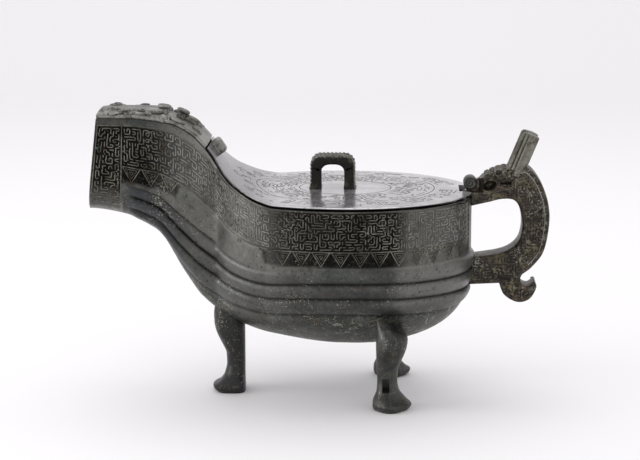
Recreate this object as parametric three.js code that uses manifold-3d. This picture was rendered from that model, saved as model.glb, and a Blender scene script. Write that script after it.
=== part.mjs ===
// A covered yi: a bronze pouring vessel with a beast mask over its spout, three hoofed legs and a
// dragon handle, closed by a lid that lifts off.
// Millimetres, +Z up, +X towards the handle. The origin is on the ground under the middle of the length.
import * as THREE from "three";
import { mergeVertices } from "three/addons/utils/BufferGeometryUtils.js";
import Module from "manifold-3d";

const wasm = await Module();
wasm.setup();

// Plan of the bowl: a front and a back half ellipse of one width. X is measured from its widest section.
const bowlHalfWidth = 83.3;
const bowlFrontLength = 110;
const bowlBackLength = 105;
// The spout runs forward from the bowl.
const mouthDistance = 211;
const mouthHalfWidth = 25.5;
const mouthLean = 9;
const throatHalfWidth = 28;
// Heights above the ground.
const bellyHeight = 43.6;
const rimHeight = 170.2;
const mouthKeelHeight = 156;
const spoutEdgeHeight = 237.4;
// Castings.
const wall = 4;
const coverThickness = 3.6;
const coverRise = 1.2;
const lidThickness = 2.6;
const lidCrown = 1.2;
const restGap = 0.3;
const seamDistance = 112;
// Convex rolls round the belly, and the stretch in which they die away towards the mouth.
const rollHeight = 2.6;
const rollFadeStart = 168.8;
const rollFadeEnd = 181.5;
// Handle.
const handleWidth = 24;
const handleEdge = 2.4;
const snoutRadius = 5.6;
const snoutWidth = 26;
const hornLength = 36;
const hornFace = 12;
const hornDepth = 9;
const hornLean = 22;
const hornYaw = 45;
const hornRibRadius = 1.7;
const hornRibPitch = 3.75;
const hornSpread = 7;
const browRadius = 2;
const browLength = 8;
const eyeLength = 9;
const eyeHeight = 3.6;
const eyeDepth = 2;
// Lid loop.
const loopPlace = -10.2;
const loopWidth = 34.8;
const loopOpening = 19;
const loopHeight = 28;
const loopBar = 5.5;
const loopDepth = 20;
const loopCorner = 6;
const loopInnerCorner = 4;
const loopEdge = 1.5;
// Crest tongue at the front end of the lid, and the notch that clears the dragon's snout.
const tongueRadius = 5;
const tongueLength = 7;
const tongueSetback = 10;
const notchGap = 3.5;
const notchSideGap = 1;
// Beast mask. The places are measured back along the cover from its front edge.
const nosePlace = 15.5;
const noseSize = [9, 11, 3.4];
const cheekPlace = 36.2;
const cheekBar = [3.4, 44, 4];
const earPlace = 45.5;
const earSize = [7.6, 6, 3.4];
const lumpPlace = 63.5;
const lumpSize = [3.6, 5, 5];
const knobPlaces = [61.5, 75.5];
const knobRadius = 5.6;
const knobStemRadius = 4.2;
const knobHeight = 6.6;
const knobCapHeight = 2.4;
const crestPlace = 84.5;
const crestRadius = 4.6;
const crestLength = 8;
const stepPlace = 89.5;
const stepBar = [9, 34, 4];
// Legs.
const shankDepth = 16.6;
const shankBreadth = 17.4;
const frontLegDistance = 91.8;
const backLegDistance = 36;
const backLegSpread = 51;
const backLegTurn = 45;

const degrees = Math.PI / 180;
const mix = (a, b, share) => a + (b - a) * share;
const clamp = (value, low, high) => Math.min(high, Math.max(low, value));
const ease = (low, high, value) => {
  const share = clamp((value - low) / (high - low), 0, 1);
  return share * share * (3 - 2 * share);
};

// A smooth curve through [x, value] points that is level at both ends and never overshoots.
function through(points) {
  const slope = (i) => (points[i + 1][1] - points[i][1]) / (points[i + 1][0] - points[i][0]);
  const tangents = points.map((point, i) => {
    if (i === 0 || i === points.length - 1) return 0;
    const product = slope(i - 1) * slope(i);
    return product <= 0 ? 0 : (2 * product) / (slope(i - 1) + slope(i));
  });
  return (x) => {
    if (x <= points[0][0]) return points[0][1];
    const next = points.findIndex((point) => x < point[0]);
    if (next < 0) return points[points.length - 1][1];
    const [x0, y0] = points[next - 1];
    const [x1, y1] = points[next];
    const width = x1 - x0;
    const s = (x - x0) / width;
    const start = tangents[next - 1] * width;
    const end = tangents[next] * width;
    return (
      y0 * (1 + 2 * s) * (1 - s) ** 2 + start * s * (1 - s) ** 2 +
      y1 * s * s * (3 - 2 * s) + end * s * s * (s - 1)
    );
  };
}

// Side view. Shares run from 0 at the widest section to 1 at the mouth.
const mouthX = -mouthDistance;
const seamX = -seamDistance;
const forward = (x) => clamp(-x / mouthDistance, 0, 1);
const keelShape = through([
  [0, 0], [0.29, 0.07], [0.458, 0.187], [0.563, 0.34], [0.629, 0.52], [0.735, 0.84], [0.86, 0.96], [1, 1],
]);
const edgeShape = through([
  [0.26, 0], [0.327, 0.046], [0.427, 0.214], [0.472, 0.36], [0.531, 0.621],
  [0.592, 0.812], [0.668, 0.935], [0.744, 0.975], [0.83, 1],
]);
const keelZ = (x) => mix(bellyHeight, mouthKeelHeight, keelShape(forward(x)));
const lidTopHeight = rimHeight + restGap + lidThickness;
const edgeZ = (x) => mix(lidTopHeight, spoutEdgeHeight, edgeShape(forward(x)));

// Plan. The bowl's ellipse and the spout's sides meet in a soft corner.
const cornerSoftness = 3;
function halfWidth(x) {
  const reach = clamp(1 - (x / bowlFrontLength) ** 2, 0, 1);
  const bowl = bowlHalfWidth * Math.sqrt(reach);
  const spout = mix(throatHalfWidth, mouthHalfWidth, ease(seamDistance, mouthDistance, -x));
  return cornerSoftness * Math.log(Math.exp(bowl / cornerSoftness) + Math.exp(spout / cornerSoftness));
}

// Cross-section. Below a straight wall each side curves in to the keel.
const curvedShare = through([
  [0, 0.742], [0.38, 0.74], [0.51, 0.65], [0.563, 0.56], [0.64, 0.45], [0.735, 0.34], [1, 0.34],
]);
const sideFullness = 1.5;
const backFullness = 4.1;
const spoutFullness = 2;

// The outer surface without relief. "along" runs from the mouth to the widest section as X, then on
// round the back as an angle; "up" runs from 0 on the keel to 1 at the edge. This is the -Y side.
function skin(along, up) {
  const turn = along > 0 ? (1 - along / bowlBackLength) * 90 * degrees : 90 * degrees;
  const x = Math.min(along, 0);
  const low = keelZ(x);
  const high = edgeZ(x);
  const z = mix(low, high, up);
  const depth = clamp(1 - up / curvedShare(forward(x)), 0, 1);
  const fullness =
    along > 0
      ? mix(sideFullness, backFullness, Math.cos(turn) ** 2)
      : mix(sideFullness, spoutFullness, ease(0.2, 0.5, forward(x)));
  const inset = Math.sqrt(1 - depth ** fullness);
  const lean = mouthLean * up * ease(0.8, 1, forward(x));
  return along > 0
    ? new THREE.Vector3(bowlBackLength * Math.cos(turn) * inset, -bowlHalfWidth * Math.sin(turn) * inset, z)
    : new THREE.Vector3(x + lean, -halfWidth(x) * inset, z);
}

// The outward direction of the skin.
function outward(along, up) {
  const step = 1e-3;
  if (up === 0) {
    const slope = along > 0 ? 0 : (keelZ(along + step) - keelZ(along - step)) / (2 * step);
    return new THREE.Vector3(slope, 0, -1).normalize();
  }
  const last = bowlBackLength - step;
  const across = skin(Math.min(along + step, last), up).sub(skin(Math.min(along - step, last - step), up));
  const upward = skin(along, Math.min(up + step, 1)).sub(skin(along, Math.max(up - step, 0)));
  const normal = across.cross(upward).normalize();
  if (along >= bowlBackLength) normal.setY(0).normalize();
  return normal;
}

function onSkin(along, up, height) {
  const point = skin(along, up).addScaledVector(outward(along, up), height);
  point.y = Math.min(point.y, 0);
  if (up === 0 || along >= bowlBackLength) point.y = 0;
  return point;
}

// The direction square to the edge line in side view, and a place on or above the surface it spans.
function edgeNormal(x) {
  const step = 0.5;
  const slope = (edgeZ(Math.min(x, 0) + step) - edgeZ(Math.min(x, 0) - step)) / (2 * step);
  return new THREE.Vector3(-slope, 0, 1).normalize();
}

function overEdge(along, acrossShare, height) {
  const edge = skin(along, 1);
  const point = new THREE.Vector3(edge.x, edge.y * acrossShare, edge.z);
  return point.addScaledVector(edgeNormal(along), height);
}

// Columns stand close together where the spout turns down into the belly.
function spaced(from, to, count) {
  return Array.from({ length: count }, (_, i) => mix(from, to, i / count));
}
const turnLength = 35;
const frontColumns = [
  ...spaced(mouthX, seamX - turnLength, 6),
  ...spaced(seamX - turnLength, seamX, 6),
];
const backColumns = [
  ...spaced(seamX, seamX + turnLength, 6),
  ...spaced(seamX + turnLength, 0, 5),
  ...spaced(0, bowlBackLength, 11),
  bowlBackLength,
];

// A closed solid, the same on both sides of the middle plane, from columns of points on the -Y side.
// Each column starts and ends on the middle plane; the first is closed by a flat end.
function mirroredSolid(columns) {
  const positions = [];
  const triangle = (a, b, c) => positions.push(...a.toArray(), ...b.toArray(), ...c.toArray());
  const mirror = (p) => new THREE.Vector3(p.x, -p.y, p.z);
  for (let i = 0; i + 1 < columns.length; i += 1) {
    for (let j = 0; j + 1 < columns[i].length; j += 1) {
      const a = columns[i][j];
      const b = columns[i + 1][j];
      const c = columns[i + 1][j + 1];
      const d = columns[i][j + 1];
      triangle(a, b, c);
      triangle(a, c, d);
      triangle(mirror(c), mirror(b), mirror(a));
      triangle(mirror(d), mirror(c), mirror(a));
    }
  }
  const first = columns[0];
  for (let j = 0; j + 1 < first.length; j += 1) {
    triangle(first[j], first[j + 1], mirror(first[j + 1]));
    triangle(first[j], mirror(first[j + 1]), mirror(first[j]));
  }
  const geometry = new THREE.BufferGeometry();
  geometry.setAttribute("position", new THREE.Float32BufferAttribute(positions, 3));
  return toSolid(geometry);
}

function toSolid(geometry) {
  const bare = geometry.clone();
  bare.deleteAttribute("normal");
  bare.deleteAttribute("uv");
  const merged = mergeVertices(bare, 1e-3);
  const corners = [];
  const index = merged.index.array;
  for (let i = 0; i < index.length; i += 3) {
    const [a, b, c] = [index[i], index[i + 1], index[i + 2]];
    if (a !== b && b !== c && c !== a) corners.push(a, b, c);
  }
  return new wasm.Manifold(
    new wasm.Mesh({
      numProp: 3,
      vertProperties: merged.attributes.position.array,
      triVerts: new Uint32Array(corners),
    }),
  );
}

function toMesh(solid, name, material) {
  const { vertProperties, triVerts } = solid.getMesh();
  const geometry = new THREE.BufferGeometry();
  geometry.setAttribute("position", new THREE.BufferAttribute(new Float32Array(vertProperties), 3));
  geometry.setIndex(new THREE.BufferAttribute(new Uint32Array(triVerts), 1));
  geometry.computeVertexNormals();
  const mesh = new THREE.Mesh(geometry, material);
  mesh.name = name;
  return mesh;
}

const joined = (solids) => solids.reduce((all, next) => all.add(next));

// Heights of the four roll boundaries, as shares from the keel to the edge, at the widest section, at
// the breast where the spout turns down, and along the spout.
const rollLines = [
  [0.288, 0.1, 0.0],
  [0.4, 0.225, 0.117],
  [0.507, 0.336, 0.26],
  [0.61, 0.447, 0.385],
].map(([side, breast, spout]) => through([[0, side], [0.563, breast], [0.83, spout]]));

// A roll swells quickly under its upper groove and dies away downwards. "share" runs up from 0 to 1.
const rollCrest = 0.72;
const rollRows = [0, 0.35, rollCrest, 0.9];
function rollSwell(share) {
  const away = share > rollCrest ? (share - rollCrest) / (1 - rollCrest) : (rollCrest - share) / rollCrest;
  return rollHeight * (1 - away * away);
}

// One column of the outside, from the keel up the side and over the top to the middle.
function outerColumn(along, covered) {
  const x = Math.min(along, 0);
  const relief = 1 - ease(rollFadeStart, rollFadeEnd, -x);
  const lines = rollLines.map((line) => line(forward(x)));
  const column = [];
  const bellyRows = 4;
  for (let j = 0; j < bellyRows; j += 1) {
    column.push(onSkin(along, lines[0] * (j / bellyRows) ** 2, 0));
  }
  for (let roll = 0; roll + 1 < lines.length; roll += 1) {
    for (const share of rollRows) {
      column.push(onSkin(along, mix(lines[roll], lines[roll + 1], share), relief * rollSwell(share)));
    }
  }
  const wallRows = 3;
  for (let j = 0; j <= wallRows; j += 1) {
    column.push(onSkin(along, mix(lines[lines.length - 1], 1, j / wallRows), 0));
  }
  if (!covered) column[column.length - 1].addScaledVector(edgeNormal(along), -lidThickness - restGap);
  const topRows = 3;
  for (let j = 1; j <= topRows; j += 1) {
    const side = 1 - j / topRows;
    column.push(overEdge(along, side, covered ? coverRise * (1 - side * side) : -lidThickness - restGap));
  }
  return column;
}

// One column of the hollow: a wall's thickness inside the skin, then under the cover, or out through
// the open top behind it. The rows crowd at the keel, where the section is round.
function innerColumn(along, covered) {
  const rows = 9;
  const crowding = 1.6;
  const topShare = 0.95;
  const column = [];
  for (let j = 0; j <= rows; j += 1) {
    column.push(onSkin(along, topShare * (j / rows) ** crowding, -wall));
  }
  const roofRows = 3;
  const rim = onSkin(along, 1, -wall);
  const edge = overEdge(along, 1, 0);
  const start = along > 0 ? rim : edge.clone().setY(Math.min(edge.y + wall, 0));
  for (let j = 0; j <= roofRows; j += 1) {
    const point = new THREE.Vector3(start.x, start.y * (1 - j / roofRows), edge.z);
    const side = edge.y === 0 ? 0 : point.y / edge.y;
    const roof = covered ? coverRise * (1 - side * side) - coverThickness : -lidThickness / 2;
    column.push(point.addScaledVector(edgeNormal(along), roof));
  }
  return column;
}

function bowlAndSpout() {
  return mirroredSolid([
    ...[...frontColumns, seamX].map((along) => outerColumn(along, true)),
    ...backColumns.map((along) => outerColumn(along, false)),
  ]);
}

// The hollow runs out past the mouth, so that the spout is open.
function hollow() {
  const past = 2 * wall;
  const beyondMouth = innerColumn(mouthX, true).map((point) => point.clone().setX(point.x - past));
  return mirroredSolid([
    beyondMouth,
    ...[...frontColumns, seamX].map((along) => innerColumn(along, true)),
    ...backColumns.map((along) => innerColumn(along, false)),
  ]);
}

// Places a solid made round its own origin: its Z axis turns from upright towards +X by "tilt" degrees.
function placed(geometry, tilt, position) {
  return toSolid(geometry.clone().rotateY(tilt * degrees).translate(position.x, position.y, position.z));
}

// A loft through rings of points, each ring anticlockwise seen from the end of the loft.
function ringSolid(rings) {
  const positions = [];
  const triangle = (a, b, c) => positions.push(...a.toArray(), ...b.toArray(), ...c.toArray());
  const count = rings[0].length;
  for (let i = 0; i + 1 < rings.length; i += 1) {
    for (let j = 0; j < count; j += 1) {
      const next = (j + 1) % count;
      triangle(rings[i][j], rings[i][next], rings[i + 1][next]);
      triangle(rings[i][j], rings[i + 1][next], rings[i + 1][j]);
    }
  }
  const last = rings[rings.length - 1];
  for (let j = 1; j + 1 < count; j += 1) {
    triangle(rings[0][0], rings[0][j + 1], rings[0][j]);
    triangle(last[0], last[j], last[j + 1]);
  }
  const geometry = new THREE.BufferGeometry();
  geometry.setAttribute("position", new THREE.Float32BufferAttribute(positions, 3));
  return toSolid(geometry);
}

// A leg: a hoof, a narrow shank and a haunch that bulges outwards. Its inner side is straight.
// Heights are shares of the belly's height, depths and breadths are shares of the shank's.
const legDepth = through([
  [0, 1.5], [0.12, 1.64], [0.2, 1.31], [0.37, 1.07], [0.55, 1], [0.75, 1.15],
  [0.94, 1.42], [1.17, 1.63], [1.35, 1.67], [1.55, 1.5], [1.7, 1.15], [1.84, 0.75],
]);
const legBreadth = through([[0, 1.6], [0.1, 1.72], [0.37, 1.12], [0.55, 1], [1.32, 1.5], [1.84, 1.1]]);
const legHeights = [0, 0.1, 0.2, 0.36, 0.55, 0.75, 0.95, 1.2, 1.4, 1.6, 1.84];
const legSides = 12;
const upright = new THREE.Vector3(0, 0, 1);

function leg(x, y, turn) {
  const rings = legHeights.map((share) =>
    Array.from({ length: legSides }, (_, i) => {
      const angle = ((i + 0.5) / legSides) * 2 * Math.PI;
      const depth = shankDepth * legDepth(share);
      const reach = (depth / 2) * (1 + Math.cos(angle)) - shankDepth / 2;
      const aside = (shankBreadth / 2) * legBreadth(share) * Math.sin(angle);
      const point = new THREE.Vector3(reach, aside, share * bellyHeight);
      return point.applyAxisAngle(upright, turn * degrees).add(new THREE.Vector3(x, y, 0));
    }),
  );
  return ringSolid(rings);
}

// The dragon handle in side view, as [x, z] from the end of the bowl at rim height.
const handleRoot = -3;
const gripLine = [
  [19, -49.3], [31, -45], [38.5, -37], [40.8, -24], [38.5, -11], [33.5, -4], [24, -3.2], [14, -5.6],
];
const headLine = [[4, 12.3], [18.5, 20.5], [28, 22.6], [37, 24]];
const backLine = [
  [47, 21.5], [57, 7.7], [62.6, -10], [62.8, -28], [58.5, -48],
  [49, -60.8], [41, -67.5], [41, -74], [46.5, -76.5], [52, -72.3],
];
const tailLine = [[53.5, -78], [48, -87.5], [37.9, -90.1], [27, -84], [22.6, -74]];
function handleShape() {
  const at = (pairs) => pairs.map(([x, z]) => new THREE.Vector2(x, z));
  const shape = new THREE.Shape();
  shape.moveTo(handleRoot, -52.5);
  shape.splineThru(at(gripLine));
  shape.lineTo(handleRoot, -9.5);
  shape.lineTo(handleRoot, -0.5);
  shape.lineTo(-5.5, 2.5);
  shape.lineTo(-4, 10);
  shape.splineThru(at(headLine));
  shape.splineThru(at(backLine));
  shape.splineThru(at(tailLine));
  shape.lineTo(handleRoot, -75.3);
  shape.closePath();
  return shape;
}

const handleX = bowlBackLength;
const fromHandle = (x, y, z) => new THREE.Vector3(handleX + x, y, rimHeight + z);
const snoutPlace = [-2.2, 0, 9.3];
const eyePlace = [26.5, 11];
const browPlace = [25, 15.2];
const browTilt = -12;
const hornPlace = [40.8, 33.5];

function handle() {
  const strap = new THREE.ExtrudeGeometry(handleShape(), {
    depth: handleWidth - 2 * handleEdge,
    curveSegments: 2,
    bevelThickness: handleEdge,
    bevelSize: handleEdge / 2,
    bevelOffset: -handleEdge / 2,
    bevelSegments: 1,
  });
  strap.rotateX(90 * degrees).translate(handleX, handleWidth / 2 - handleEdge, rimHeight);
  const snout = new THREE.CylinderGeometry(snoutRadius, snoutRadius, snoutWidth, 14);
  let solid = toSolid(strap).add(placed(snout, 0, fromHandle(...snoutPlace)));
  for (const side of [-1, 1]) {
    const face = (side * handleWidth) / 2;
    const brow = new THREE.CapsuleGeometry(browRadius, browLength, 3, 8).rotateZ(90 * degrees);
    const eye = new THREE.BoxGeometry(eyeLength, 2 * eyeDepth, eyeHeight);
    solid = solid.subtract(placed(eye, 0, fromHandle(eyePlace[0], face, eyePlace[1])));
    solid = solid.add(placed(brow, browTilt, fromHandle(browPlace[0], face, browPlace[1])));
    solid = solid.add(horn(side));
  }
  return solid;
}

// One of a pair of ribbed horns that lean back, turned so that the ribbed face looks outwards and ahead.
function horn(side) {
  const post = toSolid(new THREE.BoxGeometry(hornFace, hornDepth, hornLength));
  const ribs = [-1, 0, 1].map((i) => {
    const ribLength = hornLength - 2 * hornRibRadius;
    const rib = new THREE.CylinderGeometry(hornRibRadius, hornRibRadius, ribLength, 6);
    return toSolid(rib.rotateX(90 * degrees).translate(i * hornRibPitch, (side * hornDepth) / 2, 0));
  });
  const turn = new THREE.Matrix4().makeRotationZ(side * hornYaw * degrees);
  const lean = new THREE.Matrix4().makeRotationY(hornLean * degrees);
  const middle = fromHandle(hornPlace[0], side * hornSpread, hornPlace[1]);
  const place = new THREE.Matrix4().makeTranslation(middle.x, middle.y, middle.z);
  return joined([post, ...ribs]).transform(place.multiply(lean).multiply(turn).toArray());
}

// A piece on the cover or the lid. "side" runs from -1 to 1 across it; "height" is above its surface.
function onTop(geometry, x, side, height) {
  const normal = edgeNormal(x);
  const tilt = Math.atan2(normal.x, normal.z) / degrees;
  const crown = coverRise * (1 - side * side);
  const point = overEdge(x, Math.abs(side), crown + height);
  if (side > 0) point.y = -point.y;
  return placed(geometry, tilt, point);
}

const ball = (size) => new THREE.SphereGeometry(1, 12, 8).scale(...size);
const bar = (size) => new THREE.BoxGeometry(...size);
function button(radius, height) {
  return new THREE.CylinderGeometry(radius, radius * 0.86, height, 14).rotateX(90 * degrees);
}
const lengthwiseCapsule = (radius, length) =>
  new THREE.CapsuleGeometry(radius, length, 3, 10).rotateZ(90 * degrees);

// The beast mask over the spout: nose, cheek bar, ears, lumps on the edges, two knobs and a crest.
function mask() {
  const pieces = [];
  for (const side of [-1, 1]) {
    pieces.push(onTop(ball(noseSize), mouthX + nosePlace, side * 0.45, 0));
    pieces.push(onTop(ball(earSize), mouthX + earPlace, side * 0.55, 0));
    pieces.push(onTop(ball(lumpSize), mouthX + lumpPlace, side * 0.78, -1.4));
  }
  pieces.push(onTop(bar(cheekBar), mouthX + cheekPlace, 0, -0.9));
  for (const place of knobPlaces) {
    const root = coverThickness / 2;
    const stem = button(knobStemRadius, knobHeight + root);
    const cap = button(knobRadius, knobCapHeight);
    pieces.push(onTop(stem, mouthX + place, 0, (knobHeight - root) / 2));
    pieces.push(onTop(cap, mouthX + place, 0, knobHeight - knobCapHeight / 2));
  }
  pieces.push(onTop(bar(stepBar), mouthX + stepPlace, 0, -0.4));
  pieces.push(onTop(lengthwiseCapsule(crestRadius, crestLength), mouthX + crestPlace, 0, 0.5));
  return joined(pieces);
}

const cavity = hollow();
const legs = joined([
  leg(-frontLegDistance, 0, 180),
  leg(backLegDistance, -backLegSpread, -backLegTurn),
  leg(backLegDistance, backLegSpread, backLegTurn),
]);
const shell = bowlAndSpout();
const vessel = joined([shell, legs, mask(), handle()]).subtract(cavity);

// The lid follows the rim and the slope up to the mask.
function lidColumn(along) {
  const crown = (side) => lidCrown * (1 - side * side);
  const rows = 3;
  const column = [];
  for (let j = 0; j <= rows; j += 1) column.push(overEdge(along, j / rows, -lidThickness));
  for (let j = rows; j >= 0; j -= 1) column.push(overEdge(along, j / rows, crown(j / rows)));
  return column;
}

function loop() {
  const outer = loopWidth / 2;
  const inner = loopOpening / 2;
  const under = loopHeight - loopBar;
  const foot = lidThickness / 2;
  const shape = new THREE.Shape();
  shape.moveTo(-outer, -foot);
  shape.lineTo(-inner, -foot);
  shape.lineTo(-inner, under - loopInnerCorner);
  shape.quadraticCurveTo(-inner, under, -inner + loopInnerCorner, under);
  shape.lineTo(inner - loopInnerCorner, under);
  shape.quadraticCurveTo(inner, under, inner, under - loopInnerCorner);
  shape.lineTo(inner, -foot);
  shape.lineTo(outer, -foot);
  shape.lineTo(outer, loopHeight - loopCorner);
  shape.quadraticCurveTo(outer, loopHeight, outer - loopCorner, loopHeight);
  shape.lineTo(-outer + loopCorner, loopHeight);
  shape.quadraticCurveTo(-outer, loopHeight, -outer, loopHeight - loopCorner);
  const strap = new THREE.ExtrudeGeometry(shape, {
    depth: loopDepth - 2 * loopEdge,
    curveSegments: 4,
    bevelThickness: loopEdge,
    bevelSize: loopEdge * 0.6,
    bevelOffset: -loopEdge * 0.6,
    bevelSegments: 1,
  });
  strap.rotateX(90 * degrees).translate(loopPlace, loopDepth / 2 - loopEdge, lidTopHeight);
  return toSolid(strap);
}

function lid() {
  const seamGap = 1.5 * restGap * edgeNormal(seamX).z;
  const plate = mirroredSolid([seamX + seamGap, ...backColumns.slice(1)].map(lidColumn));
  const tongue = lengthwiseCapsule(tongueRadius, tongueLength).scale(1, 1.1, 1.1);
  const crest = onTop(tongue, seamX + tongueSetback, 0, 2);
  const notchLength = 2 * snoutWidth;
  const notch = bar([notchLength, snoutWidth + 2 * notchSideGap, snoutWidth]);
  const notchPlace = fromHandle(snoutPlace[0] - snoutRadius - notchGap + notchLength / 2, 0, 0);
  return joined([plate, loop(), crest]).subtract(placed(notch, 0, notchPlace));
}

const bronze = new THREE.MeshStandardMaterial({ color: 0x3b3a35, roughness: 0.5, metalness: 0.8 });
const polished = new THREE.MeshStandardMaterial({ color: 0x55554f, roughness: 0.3, metalness: 0.85 });
const model = new THREE.Group();
model.add(toMesh(vessel, "vessel", bronze));
model.add(toMesh(lid(), "lid", polished));
const box = new THREE.Box3().setFromObject(model);
model.position.x = -(box.min.x + box.max.x) / 2;

export default model;
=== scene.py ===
# %% [markdown]
# A covered yi, a bronze vessel from which water was once poured over the hands of guests. It was cast
# with its spout, mask, legs and dragon handle in one piece, and only the lid comes off. The fixed CAD
# model gives the sizes and places. This script dresses it: it makes each surface again as a fine mesh,
# lays the cast ornament on it, and paints it with a dark patina.

# %% Load the fixed frame
import math
import bmesh
import bpy
import numpy as np
from mathutils import Matrix, Vector


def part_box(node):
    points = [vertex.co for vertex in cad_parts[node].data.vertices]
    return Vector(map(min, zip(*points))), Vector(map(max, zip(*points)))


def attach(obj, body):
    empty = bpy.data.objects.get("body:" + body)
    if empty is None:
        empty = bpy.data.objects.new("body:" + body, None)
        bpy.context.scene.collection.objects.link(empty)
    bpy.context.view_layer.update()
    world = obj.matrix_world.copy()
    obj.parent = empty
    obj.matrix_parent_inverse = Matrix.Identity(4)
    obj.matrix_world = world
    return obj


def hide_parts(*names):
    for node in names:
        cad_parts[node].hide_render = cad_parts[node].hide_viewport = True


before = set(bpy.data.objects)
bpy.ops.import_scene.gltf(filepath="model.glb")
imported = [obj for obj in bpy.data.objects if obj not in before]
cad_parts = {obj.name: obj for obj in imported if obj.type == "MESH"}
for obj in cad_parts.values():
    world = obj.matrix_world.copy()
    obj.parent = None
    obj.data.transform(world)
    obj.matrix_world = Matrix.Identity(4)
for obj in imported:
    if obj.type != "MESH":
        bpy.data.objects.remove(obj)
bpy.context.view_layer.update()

vessel_low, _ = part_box("vessel")

# %% [markdown]
# Everything is measured from the widest section of the bowl, because that is where the potter who made
# the clay model would have started: a half ellipse runs back to the handle and another runs forward into
# the spout. Names in capitals are sizes in metres, and they are the sizes of the CAD model.

# %% Sizes of the body
BOWL_HALF_WIDTH = 0.0833
BOWL_FRONT = 0.110
BOWL_BACK = 0.105
MOUTH_DISTANCE = 0.211
MOUTH_HALF_WIDTH = 0.0255
MOUTH_LEAN = 0.009
THROAT_HALF_WIDTH = 0.028
BELLY_HEIGHT = 0.0436
RIM_HEIGHT = 0.1702
MOUTH_KEEL_HEIGHT = 0.156
SPOUT_EDGE_HEIGHT = 0.2374
WALL = 0.004
LID_THICKNESS = 0.0026
REST_GAP = 0.0003
COVER_RISE = 0.0012
LID_CROWN = 0.0012
SEAM = -0.112
ROLL_HEIGHT = 0.0026
LID_TOP = RIM_HEIGHT + REST_GAP + LID_THICKNESS
MOUTH = -MOUTH_DISTANCE
WIDEST_X = vessel_low.x + MOUTH_DISTANCE
print("widest section at x =", round(WIDEST_X, 4))


# %% [markdown]
# Two lines rule the whole side view: the keel below and the edge above. Each is a smooth curve through a
# few points, with no overshoot between them, so a curve that should stay level does. `numpy` works out
# thousands of points in one call, and so every helper takes whole arrays.

# %% Curves of the side view
def mix(a, b, share):
    return a + (b - a) * share


def ease(low, high, value):
    share = np.clip((value - low) / (high - low), 0, 1)
    return share * share * (3 - 2 * share)


def through(points):
    """A smooth curve through (x, value) points, level at both ends."""
    xs, ys = np.array(points, float).T
    slopes = np.diff(ys) / np.diff(xs)
    product = slopes[:-1] * slopes[1:]
    total = np.where(product > 0, slopes[:-1] + slopes[1:], 1)
    tangents = np.zeros(len(xs))
    tangents[1:-1] = np.where(product > 0, 2 * product / total, 0)

    def curve(x):
        x = np.clip(np.asarray(x, float), xs[0], xs[-1])
        i = np.clip(np.searchsorted(xs, x, side="right") - 1, 0, len(xs) - 2)
        width = xs[i + 1] - xs[i]
        s = (x - xs[i]) / width
        start = tangents[i] * width
        end = tangents[i + 1] * width
        low = ys[i] * (1 + 2 * s) * (1 - s) ** 2 + start * s * (1 - s) ** 2
        high = ys[i + 1] * s * s * (3 - 2 * s) + end * s * s * (s - 1)
        return low + high

    return curve


def forward(x):
    """How far a place lies towards the mouth, from 0 at the widest section to 1."""
    return np.clip(-np.asarray(x, float) / MOUTH_DISTANCE, 0, 1)


keel_share = through([
    (0, 0), (0.29, 0.07), (0.458, 0.187), (0.563, 0.34), (0.629, 0.52), (0.735, 0.84), (0.86, 0.96), (1, 1),
])
edge_share = through([
    (0.26, 0), (0.327, 0.046), (0.427, 0.214), (0.472, 0.36), (0.531, 0.621),
    (0.592, 0.812), (0.668, 0.935), (0.744, 0.975), (0.83, 1),
])
curved_share = through([
    (0, 0.742), (0.38, 0.74), (0.51, 0.65), (0.563, 0.56), (0.64, 0.45), (0.735, 0.34), (1, 0.34),
])


def keel_z(x):
    return mix(BELLY_HEIGHT, MOUTH_KEEL_HEIGHT, keel_share(forward(x)))


def edge_z(x):
    return mix(LID_TOP, SPOUT_EDGE_HEIGHT, edge_share(forward(x)))


# %% [markdown]
# The outside is one skin with two coordinates. `along` runs from the mouth to the widest section and then
# round the back, and `up` runs from 0 on the keel to 1 at the edge. A piece of ornament only has to say
# where it lies in these two numbers, and how high it stands off the skin, and it will follow the bronze.

# %% The skin of the vessel
CORNER_SOFTNESS = 0.003
SIDE_FULLNESS = 1.5
BACK_FULLNESS = 4.1
SPOUT_FULLNESS = 2.0


def half_width(x):
    bowl = BOWL_HALF_WIDTH * np.sqrt(np.clip(1 - (x / BOWL_FRONT) ** 2, 0, 1))
    spout = mix(THROAT_HALF_WIDTH, MOUTH_HALF_WIDTH, ease(-SEAM, MOUTH_DISTANCE, -x))
    return CORNER_SOFTNESS * np.logaddexp(bowl / CORNER_SOFTNESS, spout / CORNER_SOFTNESS)


def skin(along, up):
    """Points of the near side, without relief."""
    along, up = np.broadcast_arrays(np.asarray(along, float), np.asarray(up, float))
    x = np.minimum(along, 0)
    turn = math.pi / 2 * (1 - np.clip(along, 0, BOWL_BACK) / BOWL_BACK)
    f = forward(x)
    depth = np.clip(1 - up / curved_share(f), 0, 1)
    back = mix(SIDE_FULLNESS, BACK_FULLNESS, np.cos(turn) ** 2)
    front = mix(SIDE_FULLNESS, SPOUT_FULLNESS, ease(0.2, 0.5, f))
    inset = np.sqrt(1 - depth ** np.where(along > 0, back, front))
    lean = MOUTH_LEAN * up * ease(0.8, 1, f)
    px = np.where(along > 0, BOWL_BACK * np.cos(turn) * inset, x + lean)
    py = np.where(along > 0, -BOWL_HALF_WIDTH * np.sin(turn) * inset, -half_width(x) * inset)
    return np.stack([px + WIDEST_X, py, mix(keel_z(x), edge_z(x), up)], -1)


def unit(vectors):
    return vectors / np.maximum(np.linalg.norm(vectors, axis=-1, keepdims=True), 1e-12)


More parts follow.
